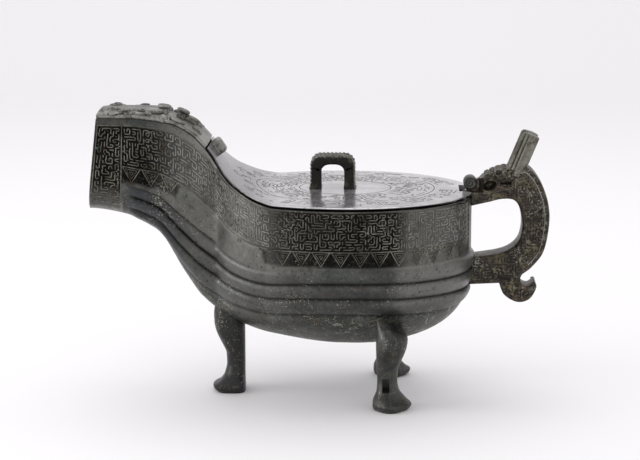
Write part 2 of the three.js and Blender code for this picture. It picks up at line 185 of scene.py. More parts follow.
def outward(along, up):
    """The outward direction of the skin."""
    along, up = np.broadcast_arrays(np.asarray(along, float), np.asarray(up, float))
    step = 1e-5
    ahead = np.minimum(along + step, BOWL_BACK - step)
    across = skin(ahead, up) - skin(ahead - 2 * step, up)
    upward = skin(along, np.minimum(up + 1e-4, 1)) - skin(along, np.maximum(up - 1e-4, 0))
    normal = unit(np.cross(across, upward))
    slope = (keel_z(along + step) - keel_z(along - step)) / (2 * step) * (along <= 0)
    keel = unit(np.stack([slope, 0 * slope, -1 + 0 * slope], -1))
    normal = np.where((up <= 1e-6)[..., None], keel, normal)
    last = (along >= BOWL_BACK)[..., None] * np.array([0, 1, 0])
    return unit(normal * (1 - last))


def on_skin(along, up, height=0.0):
    along, up = np.broadcast_arrays(np.asarray(along, float), np.asarray(up, float))
    point = skin(along, up) + outward(along, up) * np.asarray(height)[..., None]
    middle = (up <= 1e-6) | (along >= BOWL_BACK)
    point[..., 1] = np.where(middle, 0, np.minimum(point[..., 1], 0))
    return point


def edge_normal(x):
    """The direction square to the edge line in side view."""
    step = 0.0005
    x = np.minimum(np.asarray(x, float), 0)
    slope = (edge_z(x + step) - edge_z(x - step)) / (2 * step)
    return unit(np.stack([-slope, 0 * slope, 1 + 0 * slope], -1))


def over_edge(along, side, height=0.0):
    """A place on or above the lid or the cover; side runs from 0 in the middle to 1 at the edge."""
    point = skin(along, 1.0) * np.stack([np.ones_like(side), side, np.ones_like(side)], -1)
    return point + edge_normal(along) * np.asarray(height)[..., None]


print("mouth corner", np.round(skin(MOUTH, 1.0), 4))

# %% [markdown]
# Three convex rolls run round the belly. Where the spout turns down they pack together and they die away
# before the mouth. The same four boundary lines serve the rolls, the hanging triangles above them and the
# paint, so they are functions of `along` too. Shares of the height are easy to read off a photograph.

# %% Boundaries of the ornament
def zone_line(bowl, breast, spout):
    line = through([(0, bowl), (0.563, breast), (0.83, spout)])
    return lambda along: line(forward(np.minimum(along, 0)))


roll_lines = [zone_line(0.288, 0.1, 0.0), zone_line(0.4, 0.225, 0.11),
              zone_line(0.507, 0.336, 0.235), zone_line(0.61, 0.447, 0.335)]
frieze_bottom = zone_line(0.721, 0.64, 0.51)
ROLL_CREST = 0.72
ROLL_FADE = (0.1688, 0.1815)


def roll_swell(along, up):
    """Height of the rolls above the skin; each is fullest above its middle."""
    height = np.zeros_like(up)
    for low, high in zip(roll_lines[:-1], roll_lines[1:]):
        share = (up - low(along)) / (high(along) - low(along))
        away = np.where(share > ROLL_CREST, (share - ROLL_CREST) / (1 - ROLL_CREST),
                        (ROLL_CREST - share) / ROLL_CREST)
        inside = (share >= 0) & (share < 1)
        height = np.where(inside, ROLL_HEIGHT * (1 - away * away), height)
    return height * (1 - ease(*ROLL_FADE, -np.minimum(along, 0)))


print("rolls at the widest section", [round(float(line(0.0)), 3) for line in roll_lines])

# %% [markdown]
# Buried bronze is hardly ever golden. Tin-rich skin turns to a dark grey green, worn places show brown,
# and specks of pale corrosion sit in the hollows. One function builds such a patina from layers of noise
# in object space, so that the pattern sits still on the metal from every side. These are its tools: a
# noise, a mask cut out of a grey value, arithmetic, a mix of two colours, and a number read from the mesh.

# %% Tools for materials
def noise(tree, coordinates, size, detail=5.0, roughness=0.6, distortion=0.0):
    """Cloudy noise whose blotches are about `size` metres across."""
    node = tree.nodes.new("ShaderNodeTexNoise")
    node.inputs["Scale"].default_value = 1 / size
    node.inputs["Detail"].default_value = detail
    node.inputs["Roughness"].default_value = roughness
    node.inputs["Distortion"].default_value = distortion
    tree.links.new(coordinates, node.inputs["Vector"])
    return node.outputs["Fac"]


def stepped(tree, value, low, high):
    """Turns a grey value into a mask that rises from 0 at low to 1 at high."""
    node = tree.nodes.new("ShaderNodeMapRange")
    node.interpolation_type = "SMOOTHSTEP"
    node.inputs["From Min"].default_value = low
    node.inputs["From Max"].default_value = high
    tree.links.new(value, node.inputs["Value"])
    return node.outputs["Result"]


def reckon(tree, operation, a, b):
    """One step of arithmetic; a and b are numbers or sockets."""
    node = tree.nodes.new("ShaderNodeMath")
    node.operation = operation
    for socket, value in zip(node.inputs, (a, b)):
        if isinstance(value, (int, float)):
            socket.default_value = value
        else:
            tree.links.new(value, socket)
    return node.outputs["Value"]


def tinted(tree, mask, under, over):
    """Lays one colour over another through a mask; a colour is a triple or a socket."""
    node = tree.nodes.new("ShaderNodeMix")
    node.data_type = "RGBA"
    tree.links.new(mask, node.inputs["Factor"])
    for socket, colour in ((node.inputs[6], under), (node.inputs[7], over)):
        if isinstance(colour, tuple):
            socket.default_value = (*colour, 1)
        else:
            tree.links.new(colour, socket)
    return node.outputs[2]


def attribute(tree, name):
    """A number that is stored at each point of the mesh."""
    node = tree.nodes.new("ShaderNodeAttribute")
    node.attribute_name = name
    return node.outputs["Fac"]


# %% [markdown]
# Every finish is the same function with other numbers. A value that is the same everywhere is typed into
# the shader itself and not wired to it. The painted layers come from the mesh, so wear sits where the
# vessel was handled, and painted shade where shadow falls, in grooves and at joints.

# %% Patina
BROWN = (0.062, 0.047, 0.034)
OLIVE = (0.06, 0.06, 0.042)
PALE_CRUST = (0.24, 0.24, 0.2)
BLUE_GREEN = (0.12, 0.2, 0.19)
VEIN = (0.27, 0.29, 0.22)
PIT = (0.004, 0.004, 0.003)
OCHRE = (0.13, 0.115, 0.066)
CRUMB = (0.3, 0.28, 0.22)
SOOT = (0.007, 0.006, 0.005)
VEIN_SOFTNESS = (0.012, 0.008)


def mottled(tree, place, colour, strength):
    """Small pale and sooty blotches."""
    blotch = noise(tree, place, 0.0034, detail=5, roughness=0.7, distortion=0.7)
    for low, high, paint in ((0.54, 0.66, CRUMB), (0.46, 0.36, SOOT)):
        share = reckon(tree, "MULTIPLY", stepped(tree, blotch, low, high), strength)
        colour = tinted(tree, share, colour, paint)
    return colour


def veined(tree, place, patch, colour, low, high):
    """Thin pale lines of corrosion that curl about between two heights: contour lines of a noise."""
    curls = noise(tree, place, 0.012, detail=1.5, roughness=0.55, distortion=1.4)
    off_line = reckon(tree, "ABSOLUTE", reckon(tree, "SUBTRACT", curls, 0.5), 0.0)
    vein = reckon(tree, "SUBTRACT", 1.0, stepped(tree, off_line, 0.004, 0.015))
    split = tree.nodes.new("ShaderNodeSeparateXYZ")
    tree.links.new(place, split.inputs["Vector"])
    over = stepped(tree, split.outputs["Z"], low, low + VEIN_SOFTNESS[0])
    under = stepped(tree, split.outputs["Z"], high, high - VEIN_SOFTNESS[1])
    share = reckon(tree, "MULTIPLY", reckon(tree, "MULTIPLY", over, under), patch)
    return tinted(tree, reckon(tree, "MULTIPLY", vein, share), colour, VEIN)


def patina(name, dark, light, metallic=0.7, roughness=(0.3, 0.5), brown=0.35, crust=0.04, green=0.0,
           grain=0.00022, layers=(), veins=(0, 0), moss_colour=OLIVE, pits=0.0, mottle=0.0, ior=1.6):
    """A patina from dark to light. brown, crust and green are the shares of the surface that each covers;
    layers are (attribute, colour) pairs painted on where a mesh attribute says so. veins are the lowest and
    highest place of pale veins, pits the share of black pinholes and mottle the strength of blotches."""
    material = bpy.data.materials.new(name)
    material.use_nodes = True
    tree = material.node_tree
    shader = tree.nodes["Principled BSDF"]
    shader.inputs["Metallic"].default_value = metallic
    shader.inputs["IOR"].default_value = ior
    place = tree.nodes.new("ShaderNodeTexCoord").outputs["Object"]
    clouds = noise(tree, place, 0.03, detail=7, roughness=0.65, distortion=0.4)
    colour = tinted(tree, stepped(tree, clouds, 0.36, 0.66), dark, light)
    stain = noise(tree, place, 0.019, detail=8, roughness=0.7, distortion=0.8)
    colour = tinted(tree, stepped(tree, stain, 0.68 - brown * 0.4, 0.8 - brown * 0.4), colour, BROWN)
    moss = noise(tree, place, 0.011, detail=6, roughness=0.7)
    colour = tinted(tree, stepped(tree, moss, 0.52, 0.64), colour, moss_colour)
    fleck = noise(tree, place, 0.0042, detail=6, roughness=0.75, distortion=0.6)
    for mask_name, paint in layers:
        patchy = reckon(tree, "MULTIPLY", attribute(tree, mask_name), stepped(tree, clouds, 0.12, 0.42))
        colour = tinted(tree, patchy, colour, paint)
        if mask_name == "ornament":
            matt = reckon(tree, "SUBTRACT", 0.5, reckon(tree, "MULTIPLY", patchy, 0.45))
            tree.links.new(matt, shader.inputs["Specular IOR Level"])
    colour = tinted(tree, stepped(tree, fleck, 0.52, 0.72), colour, tuple(0.55 * part for part in dark))
    if mottle > 0:
        colour = mottled(tree, place, colour, mottle)
    fine = noise(tree, place, 0.0016, detail=4, roughness=0.7)
    broad = noise(tree, place, 0.024, detail=3, roughness=0.5)
    speckle = reckon(tree, "MULTIPLY", fine, reckon(tree, "ADD", broad, 0.5))
    colour = tinted(tree, stepped(tree, speckle, 0.7 - crust, 0.76 - crust), colour, PALE_CRUST)
    if veins[1] > 0:
        colour = veined(tree, place, stepped(tree, broad, 0.36, 0.5), colour, *veins)
    if green > 0:
        spots = noise(tree, place, 0.004, detail=5, roughness=0.75)
        colour = tinted(tree, stepped(tree, spots, 0.7 - green, 0.75 - green), colour, BLUE_GREEN)
    if pits > 0:
        holes = noise(tree, place, 0.0026, detail=3, roughness=0.6, distortion=0.5)
        colour = tinted(tree, stepped(tree, holes, 0.74 - pits, 0.77 - pits), colour, PIT)
    tree.links.new(colour, shader.inputs["Base Color"])
    gloss = tree.nodes.new("ShaderNodeMapRange")
    for socket, value in zip(("From Min", "From Max", "To Min", "To Max"), (0.3, 0.7, *roughness)):
        gloss.inputs[socket].default_value = value
    tree.links.new(stain, gloss.inputs["Value"])
    tree.links.new(gloss.outputs["Result"], shader.inputs["Roughness"])
    bump = tree.nodes.new("ShaderNodeBump")
    bump.inputs["Strength"].default_value = 0.7
    bump.inputs["Distance"].default_value = grain
    height = reckon(tree, "ADD", fine, reckon(tree, "MULTIPLY", moss, 2.0))
    tree.links.new(height, bump.inputs["Height"])
    tree.links.new(bump.outputs["Normal"], shader.inputs["Normal"])
    return material


# %% [markdown]
# The casting is a dull grey green, its rubbed parts paler, the sunk ground of the ornament nearly black.
# The raised lines caught the polish of many hands. The lid is smooth, its pale grey partly painted sheen
# for the reflection of bright surroundings; the handle and its dragon are encrusted with ochre and soot,
# and the beast on the spout is pale with wear.

# %% Finishes
# cast_patina's last layer is painted shade: in the grooves under the rolls, along the rim under the lid and
# in the strip under the cover of the spout.
cast_patina = patina(
    "cast_patina", (0.034, 0.035, 0.033), (0.09, 0.092, 0.084), crust=0.06, green=0.045, veins=(0.04, 0.088),
    pits=0.06, mottle=0.15, moss_colour=(0.046, 0.06, 0.05),
    layers=(("worn", (0.21, 0.206, 0.19)), ("ornament", (0.005, 0.0048, 0.004)),
            ("rolls", (0.037, 0.039, 0.043)), ("painted_shade", (0.005, 0.005, 0.004))),
)
line_patina = patina("raised_lines", (0.08, 0.075, 0.06), (0.2, 0.193, 0.16), brown=0.45, crust=0.09)
rubbed_patina = patina("rubbed_lines", (0.16, 0.157, 0.145), (0.3, 0.295, 0.275), brown=0.2, crust=0.08)
mark_patina = patina("lid_marks", (0.02, 0.02, 0.019), (0.08, 0.08, 0.078), brown=0.1, crust=0.0)
handle_patina = patina("handle_patina", (0.013, 0.011, 0.009), (0.06, 0.052, 0.041), brown=0.5, crust=0.06,
                       moss_colour=OCHRE, pits=0.12, mottle=0.55, ior=1.45)
mask_patina = patina("mask_patina", (0.06, 0.058, 0.052), (0.33, 0.322, 0.305), crust=0.14, pits=0.1,
                     mottle=0.6)
# leg_patina's layer is painted shade, laid on the front leg.
leg_patina = patina("leg_patina", (0.026, 0.027, 0.026), (0.075, 0.078, 0.074), crust=0.05, green=0.035,
                    pits=0.06, mottle=0.16, layers=(("painted_shade", (0.013, 0.0125, 0.0135)),))
loop_patina = patina("loop_patina", (0.008, 0.0078, 0.007), (0.02, 0.019, 0.017), metallic=0.2, brown=0.2,
                     crust=0.02, roughness=(0.4, 0.6), ior=1.3)
# The lid's pale grey is partly real gloss and partly painted sheen, for the reflection of bright
# surroundings. Its first layer is painted shade on the slope up to the spout, for that slope's darker
# reflection, and its second is painted shadow along the undercut edge of the joint.
lid_patina_and_sheen = patina("lid_patina_and_sheen", (0.42, 0.412, 0.42), (0.62, 0.612, 0.62), roughness=(0.12, 0.22),
                    brown=0.0, crust=0.0, grain=0.00005, moss_colour=(0.33, 0.325, 0.325),
                    layers=(("slope", (0.2, 0.195, 0.2)), ("painted_shade", (0.004, 0.004, 0.004))))
print("patinas", [material.name for material in bpy.data.materials])

# %% [markdown]
# A cast surface is easiest to make as a net: columns of points, each joined to the next. The vessel is
# the same on both sides, so a column is worked out for the near side only and mirrored, and the two sides
# are welded where they meet on the middle plane.

# %% Objects and clean meshes
WELD = 1e-6
SHARP_ANGLE = math.radians(32)


def placed(name, data):
    """An object in the scene, at the origin."""
    piece = bpy.data.objects.new(name, data)
    bpy.context.scene.collection.objects.link(piece)
    return piece


def as_object(name, mesh, material):
    mesh.materials.clear()
    mesh.materials.append(material)
    mesh.polygons.foreach_set("use_smooth", [True] * len(mesh.polygons))
    mesh.set_sharp_from_angle(angle=SHARP_ANGLE)
    return placed(name, mesh)


def cleaned(mesh, reach):
    """Merges doubled points, drops empty faces and turns all faces outwards."""
    shape = bmesh.new()
    shape.from_mesh(mesh)
    bmesh.ops.remove_doubles(shape, verts=shape.verts, dist=reach)
    bmesh.ops.dissolve_degenerate(shape, edges=shape.edges, dist=reach)
    bmesh.ops.triangulate(shape, faces=[face for face in shape.faces if len(face.verts) > 4])
    bmesh.ops.recalc_face_normals(shape, faces=shape.faces)
    shape.to_mesh(mesh)
    shape.free()
    return mesh


def evaluated(piece):
    """A plain mesh of a piece as its modifiers make it."""
    bpy.context.view_layer.update()
    return bpy.data.meshes.new_from_object(piece.evaluated_get(bpy.context.evaluated_depsgraph_get()))


def welded(name, points, faces, values=None):
    """A mesh with doubled points merged; values are named numbers for each point."""
    mesh = bpy.data.meshes.new(name)
    mesh.from_pydata(points, [], faces)
    for key, numbers in (values or {}).items():
        mesh.attributes.new(key, "FLOAT", "POINT").data.foreach_set("value", numbers)
    return cleaned(mesh, WELD)


# %% [markdown]
# A net becomes faces by joining each point to its neighbours. A loft does the same with closed rings, from
# end to end. Both end in one closed body, which can be cut and joined like a solid.

# %% Nets and lofts
def net_faces(columns, rows, offset=0, flip=False):
    faces = []
    for i in range(columns - 1):
        for j in range(rows - 1):
            a = offset + i * rows + j
            quad = (a, a + rows, a + rows + 1, a + 1)
            faces.append(quad[::-1] if flip else quad)
    return faces


def mirrored_net(name, columns, values=None, end="fan", both=False):
    """A closed body from near-side columns that start and end on the middle plane. The first column is
    closed by a flat end: a fan, or a band where the column runs out and back like the wall of a cup.
    The last column narrows to nothing on the middle plane, or has a fan too where both is true."""
    count, rows = columns.shape[:2]
    near = columns.reshape(-1, 3)
    far = near * [1, -1, 1]
    faces = net_faces(count, rows) + net_faces(count, rows, len(near), flip=True)
    if end == "fan":
        faces.append(tuple(range(rows)) + tuple(len(near) + j for j in range(rows - 2, 0, -1)))
    else:
        half = rows // 2
        for j in range(half - 1):
            quad = (j, j + 1, rows - 2 - j, rows - 1 - j)
            faces.append(quad)
            faces.append(tuple(len(near) + k for k in quad[::-1]))
    if both:
        last = (count - 1) * rows
        faces.append(tuple(last + j for j in range(rows - 1, -1, -1))
                     + tuple(len(near) + last + j for j in range(1, rows - 1)))
    doubled = {key: np.tile(numbers.ravel(), 2) for key, numbers in (values or {}).items()}
    return welded(name, np.vstack([near, far]), faces, doubled)


def loft(name, rings):
    """A closed body through rings of points, with flat ends."""
    rings = np.asarray(rings, float)
    count, sides = rings.shape[:2]
    faces = []
    for i in range(count - 1):
        for j in range(sides):
            k = (j + 1) % sides
            faces.append((i * sides + j, i * sides + k, (i + 1) * sides + k, (i + 1) * sides + j))
    faces.append(tuple(range(sides))[::-1])
    faces.append(tuple((count - 1) * sides + j for j in range(sides)))
    return welded(name, rings.reshape(-1, 3), faces)


# %% [markdown]
# Bodies of one casting are joined into one object. Hollows are cut out of them by a second body, and the
# cut is applied at once. Each finished piece is then hung on the casting's frame, and the CAD solids it
# stands for are hidden.

# %% Joining, cutting and handing over
def joined(name, meshes, material):
    """One object from several meshes, whose own data is then deleted."""
    shape = bmesh.new()
    for mesh in meshes:
        shape.from_mesh(mesh)
        bpy.data.meshes.remove(mesh)
    whole = bpy.data.meshes.new(name)
    shape.to_mesh(whole)
    shape.free()
    return as_object(name, whole, material)


def cut_from(piece, tool):
    """Cuts the tool's body out of a piece, for good."""
    cut = piece.modifiers.new("cut", "BOOLEAN")
    cut.operation = "DIFFERENCE"
    cut.solver = "EXACT"
    cut.object = tool
    result = evaluated(piece)
    piece.modifiers.clear()
    old = piece.data
    piece.data = result
    bpy.data.meshes.remove(old)
    bpy.data.objects.remove(tool)


def belongs(piece, slot, *nodes):
    """Hangs a piece on the casting's frame and hides the CAD solids it stands for."""
    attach(piece, "root")
    if nodes:
        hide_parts(*nodes)
    print(piece.name, len(piece.data.polygons), "faces")


# %% [markdown]
# The wall of the vessel is a cup: each column climbs the outside from the keel to the rim and comes back
# down the inside, four millimetres in. Rows crowd where the rolls swell, and are spread thin on the plain
# belly. The ornament's ground lies a little deeper than the skin, so that the raised lines which are laid
# on it later end level with the plain parts, as they do on a piece-mould casting. These functions say where
# the ground begins and ends. On the breast, under the frieze, it has been rubbed away.

# %% Ground of the ornament
GROUND_DEPTH = 0.0006
COLUMN_STEP = 0.0017
TOP_GAP_BOWL = 0.0036
TOP_GAP_SPOUT = 0.0085
PANEL_LENGTH = 0.0275
PANEL_BOTTOM = 0.07
TRIANGLE_HEIGHT = 0.013
BARE_BREAST = (-0.139, -0.062)
BARE_SOFTNESS = 0.006
GROUND_SOFTNESS = 0.0007


def side_height(along):
    x = np.minimum(along, 0)
    return edge_z(x) - keel_z(x)


def frieze_top(along):
    """The upper line of the ornament, as a share of the height."""
    gap = mix(TOP_GAP_BOWL, TOP_GAP_SPOUT, ease(0.42, 0.62, forward(np.minimum(along, 0))))
    return 1 - gap / edge_normal(along)[..., 2] / side_height(along)


def triangle_bottom(along):
    """Where the hanging triangles end: at their full height, or else just above the top roll."""
    hang = TRIANGLE_HEIGHT / edge_normal(along)[..., 2] / side_height(along)
    return np.maximum(frieze_bottom(along) - hang, roll_lines[3](along) + 0.004 * (forward(along) < 0.8))


def ornament_zone(along, up):
    """1 where the ornament's ground is, with soft borders."""
    soft = GROUND_SOFTNESS / side_height(along)
    top = frieze_top(along)
    panel = ease(0.0, 0.0004, MOUTH + PANEL_LENGTH - along)
    bare = ease(0, BARE_SOFTNESS, along - BARE_BREAST[0]) * ease(0, BARE_SOFTNESS, BARE_BREAST[1] - along)
    low = mix(mix(triangle_bottom(along), frieze_bottom(along), bare), PANEL_BOTTOM, panel)
    inside = ease(low - soft, low + soft, up) * ease(-top - soft, -top + soft, -up)
    return inside * ease(0.0009, 0.0016, along - MOUTH)


print("ground at the mouth from", PANEL_BOTTOM, "to", np.round(frieze_top(MOUTH), 3))

# %% [markdown]
# Wear and painted shade are numbers from 0 to 1 at each point of the net, which the patina reads as paint.
# The breast under the spout and the wall beside the handle are rubbed pale, because that is where hands
# took hold of the vessel. Painted shade darkens the grooves under the rolls and the strip over the frieze
# of the spout, where the cover throws its shadow.

# %% Wear and painted shade
GROOVE_WIDTH = 0.0011
BACK_ROLL_WEAR = 0.15
FRONT_ROLL_WEAR = 0.6
LOW_BREAST_WEAR = 0.55
UNDER_MOUTH_WEAR = 0.7
SPOUT_STRIP_SHADE = 0.4
rubbed = through([
    (-0.165, 0), (-0.13, 0.75), (-0.08, 0.9), (-0.035, 0.1), (0.024, 0), (0.037, 0.85), (0.105, 0.85),
])


def wear(along, up):
    """How far the patina is rubbed off. It is less on the rolls, and on the breast under the frieze."""
    on_rolls = np.where(along > -0.03, BACK_ROLL_WEAR, FRONT_ROLL_WEAR) * ease(0.05, 0.2, up)
    worn = rubbed(along) * mix(on_rolls, 1.0, ease(0.3, 0.42, up))
    line = frieze_bottom(along)
    on_breast = (along > BARE_BREAST[0]) & (along < BARE_BREAST[1])
    worn = worn * np.where(on_breast, mix(LOW_BREAST_WEAR, 1.0, ease(line - 0.03, line + 0.03, up)), 1.0)
    under_mouth = UNDER_MOUTH_WEAR * (1 - ease(0.16, 0.36, up)) * (along < MOUTH + PANEL_LENGTH)
    return np.maximum(worn, under_mouth)


def painted_shade(along, up):
    """Painted shade: 1 in the grooves under and between the rolls, and less over the frieze of the spout."""
    lines = np.stack([line(along) for line in roll_lines[:3]], -1)
    away = np.abs(up[..., None] - lines).min(-1) * side_height(along)
    grooves = np.exp(-(away / GROOVE_WIDTH) ** 2) * (1 - ease(*ROLL_FADE, -np.minimum(along, 0)))
    strip = ease(frieze_top(along), 1.0, up) ** 0.3 * (1 - ease(-0.14, -0.115, along))
    return np.maximum(grooves, SPOUT_STRIP_SHADE * strip)


print("wear on the breast", np.round(wear(np.array([-0.1]), np.array([0.5])), 2))

# %% [markdown]
# Now the cup itself. Its rim lies under the lid and sags a little towards the handle, where the joint
# gapes. Each column is an outer half, two points of the rim and an inner half, and the paint follows the
# same order.

# %% Bowl and spout
RIM_SAG = 0.0023


def rim_gap(along):
    """How far the rim lies under the lid's top."""
    return LID_THICKNESS + REST_GAP + RIM_SAG * ease(0.03, 0.09, along)


def body_rows(along):
    """Shares of the height for the rows of each column."""
    lines = [line(along) for line in roll_lines]
    top = 1 - (rim_gap(along) / edge_normal(along)[..., 2] + 0.0004) / side_height(along)
    belly = [lines[0] * (j / 13) ** 1.6 for j in range(13)]
    roll_shares = (0.0, 0.08, 0.2, 0.35, 0.5, 0.63, ROLL_CREST, 0.82, 0.9, 0.96)
    rolls = [mix(low, high, share) for low, high in zip(lines[:-1], lines[1:]) for share in roll_shares]
    wall = [mix(lines[3], top, share) for share in np.linspace(0, 1, 26)]
    return np.stack(belly + rolls + wall, -1)


alongs = np.concatenate([
    np.linspace(MOUTH, 0, round(MOUTH_DISTANCE / COLUMN_STEP), endpoint=False),
    np.linspace(0, BOWL_BACK, 80),
])
rows = body_rows(alongs)
grid = np.broadcast_to(alongs[:, None], rows.shape)
roll_height = roll_swell(grid, rows)
zone = ornament_zone(grid, rows)
outside = on_skin(grid, rows, roll_height - GROUND_DEPTH * zone)
inside = on_skin(grid, rows, np.full(rows.shape, -WALL))
rim_drop = -rim_gap(alongs)[:, None] * edge_normal(alongs)
outer_rim = skin(alongs, 1.0) + rim_drop
inner_rim = on_skin(alongs, np.ones_like(alongs), -WALL) + rim_drop
columns = np.concatenate([outside, outer_rim[:, None], inner_rim[:, None], inside[:, ::-1]], 1)
worn = wear(grid, rows)
paints = {
    "ornament": zone * (1 - 0.62 * worn),
    "worn": worn,
    "rolls": np.clip(roll_height / ROLL_HEIGHT * 3, 0, 1) * mix(1.0, 0.3, ease(-0.15, -0.12, grid)),
    # painted shade in the grooves of the rolls and in the strip under the cover
    "painted_shade": painted_shade(grid, rows),
}
rim = np.ones((len(alongs), 1))
paint = {}
# The rim and the inside of the wall get full painted shade: the shadow of the joint and of the hollow under
# the lid.
for key, value in paints.items():
    inner = rim if key == "painted_shade" else 0 * rim
    paint[key] = np.concatenate([value, inner, inner, inner + 0 * value], 1)
body = as_object("bowl_and_spout", mirrored_net("bowl_and_spout", columns, paint, end="band"), cast_patina)
belongs(body, "cast_bronze", "vessel")

# %% [markdown]
# Lid and cover are slabs that follow the edge line. The founder undercut their edges, and with painted
# shadow on the lid's undercut the joint reads as one dark line all the way round. Each slab's section is a
# short list of places: how far out to the side, and how high. Two pairs of hollows in the cover set off the
# lobes of the mask.

# %% Cover and lid
COVER_BOTTOM = -0.0034
cover_section = [(0, COVER_BOTTOM), (0.5, COVER_BOTTOM), (0.95, COVER_BOTTOM), (0.955, -0.0024),
                 (0.995, -0.0019), (1.0, -0.0016), (1.0, -0.0005), (0.985, 0.0)]
lid_section = [(0, -LID_THICKNESS), (0.5, -LID_THICKNESS), (0.955, -LID_THICKNESS), (0.96, -0.0016),
               (0.996, -0.0012), (1.0, -0.001), (1.0, -0.0005), (0.996, -0.0002), (0.99, 0.0)]
LID_GAP = 0.001
UNDERCUT_POINTS = 6
COVER_HOLLOWS = [(0.0305, 0.74, (0.0048, 0.0052, 0.0026)), (0.0548, 0.88, (0.0034, 0.0045, 0.0028))]
HOLLOW_RISE = 0.0006


def slab(name, places, section, crown, both=False):
    """A plate along the edge line whose top rises by crown in the middle. The undercut edge carries painted
    shadow for the joint, and the part that slopes up to the spout carries painted shade for its darker
    reflection."""
    top = [(side, 0.0) for side in np.linspace(0.96, 0, 22)]
    sides, heights = np.array(section + top).T
    lift = np.where(np.arange(len(sides)) >= len(section) - 1, crown * (1 - sides ** 2), 0)
    net = [over_edge(np.full(len(sides), along), sides, heights + lift) for along in places]
    # The undercut points carry painted shadow, and the slope up to the spout painted shade for its darker
    # reflection.
    painted_undercut_shade = np.broadcast_to(np.arange(len(sides)) < UNDERCUT_POINTS, (len(places), len(sides)))
    painted_slope_shade = ease(0.08, 0.45, edge_normal(np.asarray(places))[:, :1]) * np.ones(len(sides))
    return mirrored_net(name, np.array(net), {"painted_shade": painted_undercut_shade.astype(float), "slope": painted_slope_shade}, both=both)


cover_places = np.linspace(MOUTH, SEAM, 60)
cover_mesh = slab("cover", cover_places, cover_section, COVER_RISE, both=True)
cover = as_object("spout_cover", cover_mesh, mask_patina)
for side in (-1, 1):
    for ahead, across, size in COVER_HOLLOWS:
        spot, *_ = over_edge(np.array([MOUTH + ahead]), np.array([across]), np.array([HOLLOW_RISE]))
        spot[1] *= -side
        bpy.ops.mesh.primitive_uv_sphere_add(segments=20, ring_count=12, location=spot, radius=1)
        tool = bpy.context.active_object
        tool.scale = size
        cut_from(cover, tool)
belongs(cover, "cast_bronze", "vessel")
lid_places = np.concatenate([np.linspace(SEAM + LID_GAP, 0, 70, endpoint=False),
                             np.linspace(0, BOWL_BACK, 70)])
plate = as_object("lid_plate", slab("lid_plate", lid_places, lid_section, LID_CROWN), lid_patina_and_sheen)
print("lid plate from x", round(SEAM + LID_GAP, 4), "to", BOWL_BACK)

# %% [markdown]
# The lid has a notch at its back that clears the dragon's snout. The snout and the head are placed from
# the end of the bowl at the height of the rim, and so is the notch. It is as wide as in the CAD model, whose
# snout is broader than the real one's curl, and has a few millimetres to spare in front.

# %% Notch in the lid
HANDLE_WIDTH = 0.024
SNOUT_RADIUS = 0.0056
SNOUT_WIDTH = 0.026
SNOUT_PLACE = (-0.0022, 0.0093)
NOTCH_GAP = 0.0035
NOTCH_SIDE_GAP = 0.001


def from_handle(x, y, z):
    """A place measured from the end of the bowl, at the height of the rim."""
    px = np.asarray(x) + BOWL_BACK + WIDEST_X
    return np.stack(np.broadcast_arrays(px, y, np.asarray(z) + RIM_HEIGHT), -1)


def block(name, low, high):
    """A plain box, used only as a cutting tool."""
    corners = [[x, y, z] for x in (low[0], high[0]) for y in (low[1], high[1]) for z in (low[2], high[2])]
    faces = [(0, 1, 3, 2), (4, 6, 7, 5), (0, 4, 5, 1), (2, 3, 7, 6), (0, 2, 6, 4), (1, 5, 7, 3)]
    return placed(name, welded(name, corners, faces))


notch_side = SNOUT_WIDTH / 2 + NOTCH_SIDE_GAP
notch_low = from_handle(SNOUT_PLACE[0] - SNOUT_RADIUS - NOTCH_GAP, -notch_side, -0.02)
notch_high = from_handle(0.02, notch_side, 0.02)
cut_from(plate, block("notch", notch_low, notch_high))
belongs(plate, "smooth_bronze", "lid")

# %% [markdown]
# The legs are an animal's: a hoof, a narrow shank and a haunch that swells outwards, with a straight inner
# side. A loft joins rings of points. How deep and how broad each ring is comes from two short curves, so
# the same function makes the front leg and, turned and placed, the two at the back. Their haunches taper
# into the bowl, and what would stand up inside it is cut off. A small hole in the near shank shows the core
# of clay that the leg was cast round. The front leg is darkened with painted shade.

# %% Legs
SHANK_DEPTH = 0.0166
SHANK_BREADTH = 0.0174
FRONT_LEG = 0.0918
BACK_LEG = 0.036
BACK_LEG_SPREAD = 0.051
BACK_LEG_TURN = 45
LEG_TOP = 1.84
TAPER_START = 1.36
BACK_LEG_TAPER = 0.66
FRONT_LEG_SHADE = 0.75
CORE_HOLE_LOW = (0.053, -0.08, 0.0155)
CORE_HOLE_HIGH = (0.0588, -0.047, 0.0268)
leg_depth = through([
    (0, 1.5), (0.12, 1.64), (0.2, 1.31), (0.37, 1.04), (0.55, 0.94), (0.75, 0.96),
    (0.9, 1.12), (1.06, 1.33), (1.2, 1.48), (1.35, 1.56), (1.5, 1.58), (1.84, 1.5),
])
leg_breadth = through([(0, 1.6), (0.1, 1.72), (0.37, 1.12), (0.55, 1), (1.32, 1.5), (1.84, 1.1)])
HOOF_EDGE = 0.0012


def leg_ring(share, sides=48):
    """One ring, with the leg's own inner side towards -X. The foot's lower edge is rounded."""
    angle = np.arange(sides) / sides * 2 * math.pi
    worn = HOOF_EDGE * (1 - ease(0, 0.05, share))
    depth = SHANK_DEPTH * leg_depth(share) - worn
    breadth = SHANK_BREADTH * leg_breadth(share) - 2 * worn
    squareness = 0.12 * (1 - ease(0.2, 0.4, share))
    flat = 1 + squareness * np.sin(2 * angle) ** 2
    reach = depth / 2 * (1 + np.cos(angle) * flat) - SHANK_DEPTH / 2
    aside = breadth / 2 * np.sin(angle) * flat
    return reach, aside


